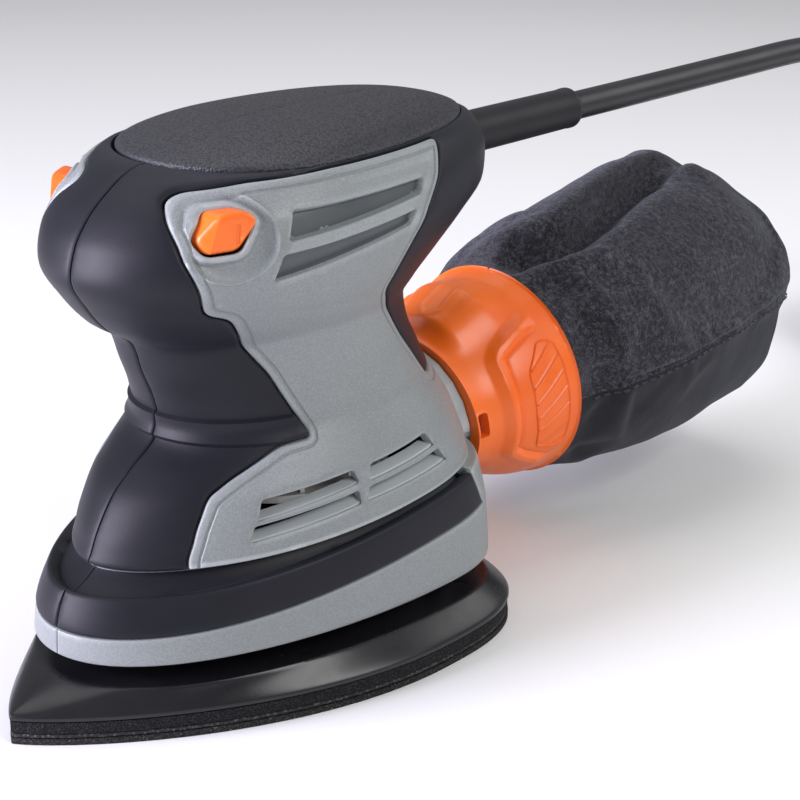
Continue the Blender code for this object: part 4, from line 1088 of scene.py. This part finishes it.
def palm_pad(look):
    """The oval pad on top, slightly crowned, with a shallow crease along its middle."""
    read = smooth_table(DOME)
    side, crown, top = np.linspace(126.9, 128.2, 4), np.linspace(128.5, 134.0, 34), (134.2, 134.3, 134.35)
    rings, around = [], 160
    angle = 2 * math.pi * np.arange(around) / around
    for height in (*side, *crown, *top):
        x, y = outline_place(np.cos(angle), *read([height])[0][1:])
        rings.append(np.column_stack((x, np.where(np.sin(angle) > 0, y, -y), np.full(around, height))))
    points = np.vstack(rings)
    middle = np.exp(-((points[:, 1] / 1.3) ** 2))
    crease = middle * np.interp(points[:, 0], (-36.0, -24.0, 30.0, 52.0), (0, 1, 1, 0))
    points[:, 2] -= PALM_CREASE * crease * (points[:, 2] > 128.6)
    faces = between_rings(len(rings), around)
    faces.append([(len(rings) - 1) * around + i for i in range(around)][::-1])
    item = make_mesh("palm_pad", points, faces, "housing", look, "pebbled_grip", 50.0)
    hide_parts("top_grip_pad")


def pad_outline(shape, inset, steps=110):
    """A closed flat outline of the pad, counter-clockwise from the nose."""
    nose, tail, half, *rest = shape
    quarter = np.linspace(0.0, math.pi / 2, steps + 1)
    turn = np.concatenate((np.cos(quarter), -np.sin(quarter[1:])))
    right = np.stack(outline_place(turn, nose + inset, tail - inset, half - inset, *rest), 1)
    return np.vstack((right[::-1], right[1:-1] * (1, -1)))


def platen(look):
    """The platen: a flared bevel over the foam, a flat top and the bearing's boss."""
    edge, top = pad_outline(PAD_EDGE, 0.0), pad_outline(PAD_TOP, 0.0)
    count = len(edge)
    turn = np.arctan2(edge[:, 1], edge[:, 0] - 1.0)

    def circle(radius):
        return np.stack((1.0 + radius * np.cos(turn), radius * np.sin(turn)), 1)

    rim = ((0.5, 6.0), (0.985, 6.0), (0.9985, 6.15), (1.0, 6.45), (1.0, 6.95), (0.997, 7.3))
    boss = ((16.8, 12.5), (16.4, 13.0), (16.4, 23.7), (16.0, 24.2), (13.7, 24.2), (13.3, 23.8),
            (13.3, 15.2), (9.0, 15.2), (9.0, 7.6), (2.0, 7.6))
    rings = [(edge * share, z) for share, z in rim]
    for t in np.linspace(0.08, 0.95, 9):
        rings.append((edge * 0.997 * (1 - t) + top * t, 7.3 + 5.1 * t**0.88))
    rings += [(top * 0.997, 12.45), (top * 0.985, 12.5), (top * 0.5 + circle(16.4) * 0.5, 12.5)]
    rings += [(circle(radius), z) for radius, z in boss]
    points = np.vstack([np.column_stack((ring, np.full(count, z))) for ring, z in rings])
    faces = between_rings(len(rings), count)
    item = make_mesh("bevelled_platen", points, faces, "pad", look, "black_plastic", 40.0)
    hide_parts("platen")


def pad_layer(name, node, inset, low, high, look, slot, ragged=0.0):
    """A layer of the pad with its dust holes, its edge slightly swollen or ragged."""
    edge = pad_outline(PAD_EDGE, inset)
    turn = np.linspace(0.0, 2 * math.pi, 25)[:-1]
    circle = DUST_HOLE_RADIUS * np.stack((np.cos(turn), np.sin(turn)), 1)
    loops = [edge] + [circle + place for place in DUST_HOLES]
    flat, edges = [], []
    for loop in loops:
        start, n = len(flat), len(loop)
        edges += [(start + i, start + (i + 1) % n) for i in range(n)]
        flat += [Vector(p) for p in loop]
    flat, _, faces, _, _, _ = delaunay_2d_cdt(flat, edges, [], 0, 1e-5)
    uv = np.array([tuple(p) for p in flat])
    faces = np.array([f for f in faces if len(f) == 3])
    middle = uv[faces].mean(1)
    keep = inside(middle, edge)
    for loop in loops[1:]:
        keep &= ~inside(middle, loop)
    faces = faces[keep]
    a, b, c = (uv[faces[:, k]] for k in range(3))
    turned = (b[:, 0] - a[:, 0]) * (c[:, 1] - a[:, 1]) < (b[:, 1] - a[:, 1]) * (c[:, 0] - a[:, 0])
    faces[turned] = faces[turned][:, ::-1]
    total = len(uv)
    number = np.arange(total)
    swollen = (1.0022 + ragged * np.sin(number * 2.4) * np.sin(number * 0.37 + 1.0))[:, None]
    points, walls = [], []
    for level, size in ((0.0, 1.0), (0.12, swollen), (0.5, swollen), (0.88, swollen), (1.0, 1.0)):
        points.append(np.column_stack((uv * size, np.full(total, low + (high - low) * level))))
    for k in range(4):
        start = k * total
        walls += [(start + a, start + b, start + total + b, start + total + a) for a, b in open_edges(faces)]
    points = np.vstack(points)
    lids = [tuple(f[::-1]) for f in faces] + [tuple(f + 4 * total) for f in faces]
    used, index = np.unique(np.concatenate([np.array(f) for f in lids + walls]), return_inverse=True)
    order = iter(index)
    everything = [tuple(next(order) for _ in f) for f in lids + walls]
    item = make_mesh(name, points[used], everything, "pad", look, slot, 50.0)
    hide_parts(node)
    return item


def switch_caps(look):
    """The two ends of the push-through switch: faceted caps with an upright groove."""
    outline = spaced(rounded(BUTTON, 1.5), 0.5)
    pieces = []
    for side, proud in ((LEFT, 1.1), (RIGHT, -0.5)):
        start, middle, slope = BUTTON_FACE
        surface = Plane(side, (start + proud, middle, slope), SWITCH_SHIFT)
        groove = rounded(((-38.1, 119.7), (-37.3, 119.7), (-37.5, 115.3), (-38.3, 115.3)), 0.3)

        def keep(uv):
            return inside(uv, outline)

        def relief(uv, base):
            height = edge_round(np.abs(signed(uv, outline)), 1.1)
            facet = uv[:, 0] - FACET_LEAN * (uv[:, 1] - 117.0)
            height += np.interp(facet, (-46.0, FACET_END), (-1.7, 0.0))
            return height + np.interp(signed(uv, groove), (-0.15, 0.1), (-0.4, 0.0))

        lines = [(shifted(outline, -d), True) for d in (0.0, 0.1, 0.3, 0.6, 1.1)]
        lines += [(spaced(groove, 0.4), True), (shifted(spaced(groove, 0.4), -0.15), True)]
        z = np.arange(113.0, 123.0, 0.5)
        lines.append((np.stack((FACET_END + FACET_LEAN * (z - 117.0), z), 1), False))
        box = ((-47.0, 112.5), (-33.0, 123.0))
        pieces.append(lay(surface, box, lines, keep, relief, 0.7, 7.5))
    item = make_mesh("switch_caps", *joined(pieces), "switch", look, "button_plastic", 21.0)
    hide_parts("switch_bar")


# ---------------------------------------------------------------- dust collar and bag


# Outlines on the collar, as degrees from its top and places along the axis.
GRIP_PATCH = (
    (52.0, -9.5), (55.0, -4.2), (68.0, -3.3), (97.0, -3.3), (117.0, -3.4), (118.5, -9.0),
    (115.0, -14.8), (90.0, -16.4), (66.0, -16.0),
)
COLLAR_STEP = (
    (44.0, -9.5), (47.0, -15.8), (49.5, -21.2), (62.0, -21.7), (90.0, -21.7), (115.0, -21.7),
    (121.0, -17.5), (126.0, -11.0), (128.0, 1.0), (41.0, 1.0),
)
COLLAR_FOLD = ((0.0, -26.5), (7.0, -23.6), (6.0, -16.0), (4.0, -7.8))
LATCH = ((76.0, -34.0), (94.0, -34.0), (94.0, -31.0), (76.0, -31.0))


def collar(look):
    """The orange collar: a scoop on top, a stepped finger grip with ribs each side, a latch slot,
    and a rolled edge at both ends."""
    pieces = []
    reach = 27.0
    to_uv = np.array((math.pi / 180 * reach, 1.0))
    step = spaced(rounded(COLLAR_STEP * to_uv, 1.6), 0.7)
    patch = spaced(rounded(GRIP_PATCH * to_uv, 1.6), 0.7)
    latch = spaced(rounded(LATCH * to_uv, 0.8), 0.5)
    crease = COLLAR_FOLD * to_uv
    ribs = [((a, -17.0), (a - 16.0, -2.5)) * to_uv for a in range(60, 140, 9)]
    for side, _ in SIDES:
        surface = Sleeve(COLLAR_ROWS, side, reach)

        def keep(uv):
            return ~inside(uv, latch)

        def relief(uv, base):
            angle, s = (uv / to_uv).T
            height = edge_round(np.minimum(s + 35.0, 0.02 - s), 1.0)
            ledge = np.interp(signed(uv, step), (-2.2, -1.3, 0.0, 1.6, 4.6), (0.0, 0.3, -1.15, -1.45, 0.0))
            height += ledge * np.interp(s, (-12.0, -6.0), (1.0, 0.0))
            across = np.exp(-(((angle - 2.0) / 27.0) ** 4))
            along = np.interp(s, (-33.0, -26.5, -16.0, -5.0), (0.0, 1.0, 0.8, 0.0))
            height -= 4.2 * across * along * along * (3 - 2 * along)
            fold = distance(uv, crease, closed=False)
            height += np.interp(fold, (0.0, 0.5, 1.2), (-0.35, -0.15, 0.0))
            border = np.abs(signed(uv, patch) + 0.5)
            height += np.interp(border, (0.0, 0.35), (-0.4, 0.0))
            within = signed(uv, patch) < -0.9
            for rib in ribs:
                groove = np.interp(distance(uv, rib, closed=False), (0.0, 0.4), (-0.4, 0.0))
                height += np.where(within, groove, 0.0)
            return height + np.interp(signed(uv, latch), (0.0, 0.6), (-0.35, 0.0))

        lines = [(shifted(step, d), True) for d in (-1.3, 0.0, 1.6)]
        lines += [(shifted(patch, d), True) for d in (-0.85, -0.5, -0.15)]
        lines += [(latch, True), (shifted(latch, 0.6), True)]
        for rib in ribs:
            even = spaced(rib, 0.5, closed=False)
            even = even[signed(even, patch) < -0.9]
            if len(even) > 3:
                lines += [(even + np.array((d, 0.0)), False) for d in (-0.4, 0.0, 0.4)]
        for s in (-34.8, -34.4, -34.0, -0.3, -0.7):
            lines.append((np.array([(u, s) for u in np.arange(0.0, math.pi * reach + 1.0, 1.0)]), False))
        box = ((0.0, -35.0), (math.pi * reach, 0.0))
        pieces.append(lay(surface, box, lines, keep, relief, 0.62, 0.0))
    item = make_mesh("collar_shell", *rolled_in(*joined(pieces)), "dust_box", look, "orange_plastic", 40.0)
    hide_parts("dust_collar")


def rolled_in(points, faces):
    """The collar's two sides joined along its seams, with the rims turned in towards the axis."""
    data = bmesh.new()
    verts = [data.verts.new(p) for p in points]
    for face in faces:
        data.faces.new([verts[k] for k in face])
    seam = [v for v in data.verts if abs(v.co.y) < 0.08]
    for vert in seam:
        vert.co.y = 0.0
    bmesh.ops.remove_doubles(data, verts=seam, dist=0.15)
    edges = [e for e in data.edges if e.is_boundary]
    made = bmesh.ops.extrude_edge_only(data, edges=edges)
    axis = Vector((math.cos(PORT_TILT), 0.0, math.sin(PORT_TILT)))
    origin = Vector(PORT_ORIGIN)
    for vert in (v for v in made["geom"] if isinstance(v, bmesh.types.BMVert)):
        offset = vert.co - origin
        radial = offset - axis * offset.dot(axis)
        vert.co -= radial.normalized() * min(3.2, radial.length - 18.4)
    data.verts.index_update()
    points = np.array([tuple(v.co) for v in data.verts])
    faces = [[v.index for v in f.verts] for f in data.faces]
    data.free()
    return points, faces


# The bag: its fold as degrees from the top and places along the axis, its grid of points, and the
# turn of its side seams from the top.
BAG_FOLD = ((4.0, 4.0), (11.0, 13.0), (16.0, 26.0), (15.0, 38.0), (11.0, 52.0), (6.0, 74.0), (2.0, 92.0))
BAG_AROUND, BAG_ALONG = 112, 60
SEAM_TURN = 91.0
BAG_SETTLES = 2.4  # the most that the cloth may move, in millimetres


def wave(points, size, turn):
    """A smooth, irregular ripple between -1 and 1, the same on every run."""
    a = np.sin(points @ np.array((0.9, 0.35, 0.2)) / size + turn)
    b = np.sin(points @ np.array((-0.3, 0.85, 0.5)) / (size * 0.73) + 2.1 * turn + a)
    c = np.sin(points @ np.array((0.25, -0.45, 0.9)) / (size * 0.59) + 0.7 * turn + 1.3 * b)
    return (a + b + c) / 3.0


def bag_rings():
    """The filled bag in rings along the port's axis: flat-sided, with a deep fold along its top,
    puffs either side of the fold, gathers at its mouth and a pinched seam on each side."""
    read = smooth_table(BAG_ROWS)
    angle = np.arange(BAG_AROUND) / BAG_AROUND * 2 * math.pi
    degrees = np.degrees(np.where(angle > math.pi, angle - 2 * math.pi, angle))
    fold_turn, fold_at = zip(*BAG_FOLD)
    rings = []
    for s in np.linspace(0.3, 103.0, BAG_ALONG):
        above, below, half = read(np.array([s]))[0]
        up, side = np.cos(angle), np.sin(angle)
        full = np.clip(s / 30.0, 0, 1)
        power = 2 + 1.1 * full
        square = 1.0 + 0.55 * ((np.abs(up) ** power + np.abs(side) ** power) ** (-1 / power) - 1.0)
        high = np.where(up > 0, above, below) * up * square
        ring = port_point(np.full(BAG_AROUND, s), -half * side * square, high)
        middle = port_point(np.array([s]), np.array([0.0]), np.array([0.0]))
        outward = ring - middle
        outward /= np.linalg.norm(outward, axis=1)[:, None]
        gap = np.radians(degrees - np.interp(s, fold_at, fold_turn)) * 37.0
        depth = np.interp(s, (1.5, 12.0, 66.0, 88.0, 99.0), (0.0, 1.0, 0.9, 0.3, 0.0))
        fold = -9.5 * np.exp(-((gap / 5.2) ** 4))
        puffs = 1.9 * np.exp(-(((gap - 10.5) / 4.5) ** 2)) + 2.2 * np.exp(-(((gap + 11.0) / 6.0) ** 2))
        pinch = np.exp(-(((np.abs(degrees) - SEAM_TURN) * 0.66 / 0.8) ** 2))
        change = depth * (fold + puffs)
        change -= 1.1 * pinch * np.interp(s, (0.0, 5.0, 88.0, 98.0), (0.0, 1.0, 1.0, 0.1))
        change += 0.7 * np.cos(angle * 15.0) * np.exp(-(((s - 7.0) / 6.0) ** 2))
        change += 0.7 * wave(ring, 9.0, 1.0) * full + 0.25 * wave(ring, 3.6, 4.0) * full
        rings.append(ring + outward * (change * np.interp(s, (0.3, 3.0), (0.0, 1.0)))[:, None])
    return rings


def dust_bag(upper, lower):
    """The cloth bag: filled and wrinkled as cloth, with felt above its side seams and a plainer
    strip below them."""
    rings = bag_rings()
    centre = rings[-1].mean(0)
    for share in (0.88, 0.7, 0.48, 0.26, 0.08):
        rings.append(centre + (rings[BAG_ALONG - 1] - centre) * share + np.array((1.5 * (1 - share), 0, 0)))
    faces = between_rings(len(rings), BAG_AROUND, turned=True)
    faces.append([(len(rings) - 1) * BAG_AROUND + i for i in range(BAG_AROUND)])
    item = make_mesh("bag_cloth", np.vstack(rings), faces, "dust_box", upper, "bag_felt", 60.0)
    item.data.materials.append(lower)
    settle(item)
    strip = []
    for polygon in item.data.polygons:
        turn = (polygon.vertices[0] % BAG_AROUND) / BAG_AROUND * 360.0
        below = SEAM_TURN < turn < 360.0 - SEAM_TURN and polygon.index < (BAG_ALONG - 1) * BAG_AROUND
        strip.append(1 if below else 0)
    item.data.polygons.foreach_set("material_index", strip)
    finer = item.modifiers.new("finer", "SUBSURF")
    finer.levels = finer.render_levels = 1
    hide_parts("dust_bag")
    return item


def settle(item):
    """Lets the cloth fill and wrinkle under a little pressure, held at its mouth, along its seams
    and at its end."""
    start = np.array([tuple(v.co) for v in item.data.vertices])
    held = item.vertex_groups.new(name="held")
    for k in range(len(start)):
        row, place = divmod(k, BAG_AROUND)
        turn = place / BAG_AROUND * 360.0
        if row < 3:
            held.add([k], 1.0, "REPLACE")
        elif min(abs(turn - SEAM_TURN), abs(turn - 360.0 + SEAM_TURN)) < 2.0:
            held.add([k], 0.6, "REPLACE")
        elif row > BAG_ALONG:
            held.add([k], 0.2, "REPLACE")
    cloth = item.modifiers.new("cloth", "CLOTH")
    cloth.settings.quality = 6
    cloth.settings.mass = 0.2
    cloth.settings.tension_stiffness = cloth.settings.compression_stiffness = 18.0
    cloth.settings.shear_stiffness = 8.0
    cloth.settings.bending_stiffness = 0.25
    cloth.settings.use_pressure = True
    cloth.settings.uniform_pressure_force = 4.0
    cloth.settings.shrink_min = -0.05
    cloth.settings.vertex_group_mass = "held"
    cloth.settings.effector_weights.gravity = 0.0
    cloth.point_cache.frame_start, cloth.point_cache.frame_end = 1, 20
    scene = bpy.context.scene
    for number in range(1, 21):
        scene.frame_set(number)
    shape = item.evaluated_get(bpy.context.evaluated_depsgraph_get())
    moved = np.array([tuple(v.co) for v in shape.data.vertices]) - start
    item.modifiers.remove(cloth)
    scene.frame_set(1)
    length = np.linalg.norm(moved, axis=1)[:, None]
    reach = BAG_SETTLES * MM
    moved *= reach * np.tanh(length / reach) / np.maximum(length, 1e-9)
    item.data.vertices.foreach_set("co", (start + moved).ravel().tolist())
    item.data.update()


def bag_seam(item, look):
    """A row of stitches just below the seam on each side."""
    places = np.array([tuple(v.co) for v in item.data.vertices]) / MM
    axis = np.array((PORT_ORIGIN[0], 0.0, PORT_ORIGIN[2]))
    points, faces = [], []
    for turn in (95.0, 265.0):
        column = turn / 360.0 * BAG_AROUND
        low, share = int(column), column - int(column)
        first = np.arange(2, BAG_ALONG - 2) * BAG_AROUND + low
        line = places[first] * (1 - share) + places[first + 1] * share
        length = np.concatenate(([0.0], np.cumsum(np.linalg.norm(np.diff(line, axis=0), axis=1))))
        for start in np.arange(1.0, length[-1] - 2.4, 3.1):
            here, there = (np.array([np.interp(t, length, line[:, k]) for k in range(3)])
                           for t in (start, start + 2.1))
            along = (there - here) / np.linalg.norm(there - here)
            out = (here - axis) * np.array((0.0, 1.0, 1.0))
            out -= along * (out @ along)
            out /= np.linalg.norm(out)
            across = np.cross(along, out)
            base = len(points)
            for t, size, lift in ((0.0, 0.12, 0.1), (0.15, 0.3, 0.3), (0.85, 0.3, 0.3), (1.0, 0.12, 0.1)):
                centre = here + (there - here) * t + out * lift
                for angle in np.arange(6) * math.pi / 3:
                    points.append(centre + size * (math.cos(angle) * out + math.sin(angle) * across))
            faces += between_rings(4, 6, base, turned=True)
            faces.append([base + a for a in range(6)][::-1])
            faces.append([base + 18 + a for a in range(6)])
    make_mesh("seam_stitches", np.array(points), faces, "dust_box", look, "bag_felt")


# ---------------------------------------------------------------- cord


def smooth_route(points, spacing):
    """Points along a smooth curve through the route's points, about one spacing apart."""
    path = [Vector(p) for p in points]
    ends = [path[0] * 2 - path[1]] + path + [path[-1] * 2 - path[-2]]
    fine = []
    for a, b, c, d in zip(ends, ends[1:], ends[2:], ends[3:]):
        for i in range(24):
            t = i / 24
            place = 2 * b + (c - a) * t + (2 * a - 5 * b + 4 * c - d) * t**2
            fine.append(0.5 * (place + (3 * b - a - 3 * c + d) * t**3))
    fine.append(path[-1])
    result = [fine[0]]
    for place in fine[1:]:
        if (place - result[-1]).length >= spacing:
            result.append(place)
    return result


def coil_turns():
    """The wound turns, clockwise from the top layer's inner row out to the foot's outer row."""
    x0, y0 = COIL_CENTRE
    stations = [(-22.0, 44.2, 29.0), (-45.0, 42.0, 29.0), (-70.0, 39.85, 28.2), (-112.0, 39.85, 20.5)]
    for i, slot in enumerate(COIL_SLOTS[:-1]):
        leave = -60.0 + 30.0 * i - 360.0 * (i + 1)
        stations += [(leave, *slot), (leave - 30.0, *COIL_SLOTS[i + 1])]
    stations.append((90.0 - 360.0 * len(COIL_SLOTS), *COIL_SLOTS[-1]))
    angles = [-s[0] for s in stations]
    turns = []
    for a in np.arange(angles[0] + 8.0, angles[-1], 8.0):
        k = int(np.searchsorted(angles, a)) - 1
        t = (a - angles[k]) / (angles[k + 1] - angles[k])
        t = t * t * (3 - 2 * t)
        radius = stations[k][1] + (stations[k + 1][1] - stations[k][1]) * t
        height = stations[k][2] + (stations[k + 1][2] - stations[k][2]) * t
        turn = math.radians(-a)
        turns.append(Vector((x0 + radius * math.cos(turn), y0 + radius * math.sin(turn), height)))
    return turns


def add_cord(look):
    """The whole lead as one curve: out of the sleeve, down to the coil, round it and out to the
    plug."""
    path = smooth_route(ROUTE, 6.0)[:-1] + coil_turns()
    path += [Vector((x, 22.15, 4.2)) for x in (327.0, 336.0, 346.0)] + smooth_route(TAIL_ROUTE, 6.0)
    data = bpy.data.curves.new("mains_lead", "CURVE")
    data.dimensions = "3D"
    data.bevel_depth = CORD_RADIUS * MM
    data.bevel_resolution = 6
    data.use_fill_caps = True
    spline = data.splines.new("POLY")
    spline.points.add(len(path) - 1)
    for point, place in zip(spline.points, path):
        point.co = (*(place * MM), 1.0)
    spline.use_smooth = True
    data.materials.append(look)
    cord = bpy.data.objects.new("mains_lead", data)
    bpy.context.scene.collection.objects.link(cord)
    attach(cord, "housing")
    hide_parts("cord_lead", "cord_coil", "cord_tail")


def strain_relief(look):
    """A tapered rubber sleeve with a rolled lip at its end."""
    profile = ((58.0, 5.7), (76.0, 5.7), (80.0, 5.7), (96.0, 5.66), (108.0, 5.6), (114.6, 5.56), (115.1, 5.7),
               (116.3, 5.7), (116.9, 5.3), (117.0, 4.7), (116.6, 4.15), (112.0, 4.1), (100.0, 4.1))
    around = 48
    angle = 2 * math.pi * np.arange(around) / around
    points = []
    for x, radius in profile:
        y, z = radius * np.cos(angle), CORD_HEIGHT + radius * np.sin(angle)
        points.append(np.column_stack((np.full(around, x), y, z)))
    faces = between_rings(len(profile), around, turned=True)
    item = make_mesh("strain_relief", np.vstack(points), faces, "housing", look, "cord_rubber", 40.0)
    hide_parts("cord_sleeve")


# ---------------------------------------------------------------- carried-over parts


def paint_nodes(names, material, bevel=0.0):
    """A material, and a small rounded edge, for CAD parts that stay as they are."""
    for name in names:
        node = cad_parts[name]
        for slot in node.material_slots:
            slot.material = material
        if not node.material_slots:
            node.data.materials.append(material)
        if bevel:
            change = node.modifiers.new("edge", "BEVEL")
            change.width = bevel * MM
            change.segments = 2
            change.limit_method = "ANGLE"
            change.angle_limit = math.radians(38.0)
            change.harden_normals = False


# ---------------------------------------------------------------- the scene


add_camera()
rubber = black_rubber("grip_rubber")
cord_look = cord_rubber()
add_cord(cord_look)
strain_relief(black_rubber("sleeve_rubber", (0.010, 0.010, 0.012), (0.02, 0.02, 0.024)))
add_stage()

grey = grey_plastic()
orange = orange_plastic()
grip_covers(rubber)
# The darker grey given here for the blind slots' floors is painted shade.
side_panels(grey, nylon("slot_floor_painted_shade", (0.085, 0.093, 0.099), (0.065, 0.072, 0.077)))
# The inner shell's grey is darker than the panels': painted shade for the gaps it shows in.
inner_housings(nylon("inner_grey_painted_shade", (0.16, 0.17, 0.18), (0.12, 0.13, 0.14)))
skirts(grey, black_rubber("bumper_rubber"))
palm_pad(pebbled_rubber())
switch_caps(orange_plastic("button_plastic", 0.3))
collar(orange)
bag = dust_bag(felt(), smooth_cloth())
bag_seam(bag, thread("charcoal_thread", (0.035, 0.035, 0.042)))

black = nylon("black_plastic", (0.016, 0.016, 0.019), (0.009, 0.009, 0.011))
paint_nodes(["bag_frame", "power_switch", "upper_bearing_bracket", "lower_bearing_plate"], black)
paint_nodes(["plug_body"], black_rubber("plug_rubber"), 0.8)
paint_nodes(["dust_port"], grey)
screws = [f"housing_screw_{i}" for i in range(1, 6)] + ["pad_screw", "pad_washer"]
windings = ["field_coil_left", "field_coil_right", "armature_winding_lower", "armature_winding_upper"]
brass_parts = ["brush_holder_front", "brush_holder_rear", "plug_pin_left", "plug_pin_right"]
paint_nodes(screws, steel("zinc_steel"))
paint_nodes(["upper_bearing", "lower_bearing", "pad_bearing", "rotor_shaft", "eccentric_weight"], steel())
paint_nodes(["brush_spring_front", "brush_spring_rear"], steel("spring_steel"))
paint_nodes(["motor_stator", "armature_core"], laminated_steel())
paint_nodes(windings, copper_wire())
paint_nodes(["commutator"], steel("copper_bars", (0.75, 0.36, 0.2)))
paint_nodes(["carbon_brush_front", "carbon_brush_rear"], carbon())
paint_nodes(brass_parts, steel("brass", (0.72, 0.52, 0.2)))
paint_nodes(["cooling_fan"], nylon("fan_nylon", (0.8, 0.8, 0.78), (0.7, 0.7, 0.68)))
paint_nodes([f"flexible_leg_{i}" for i in range(1, 5)], black_rubber("leg_rubber"))
platen(nylon("platen_black", (0.010, 0.010, 0.012), (0.006, 0.006, 0.008), 0.01, 0.24))
foam_piece = pad_layer("foam_layer", "pad_foam", 0.42, 2.9, 5.7, foam(), "pad_foam", 0.0008)
pad_layer("hook_face", "hook_layer", 0.6, 1.8, 2.6, hook_nylon(), "hook_nylon", 0.001)
pad_layer("abrasive_sheet", "sanding_sheet", 0.25, 0.0, 1.5, abrasive(), "abrasive_paper")
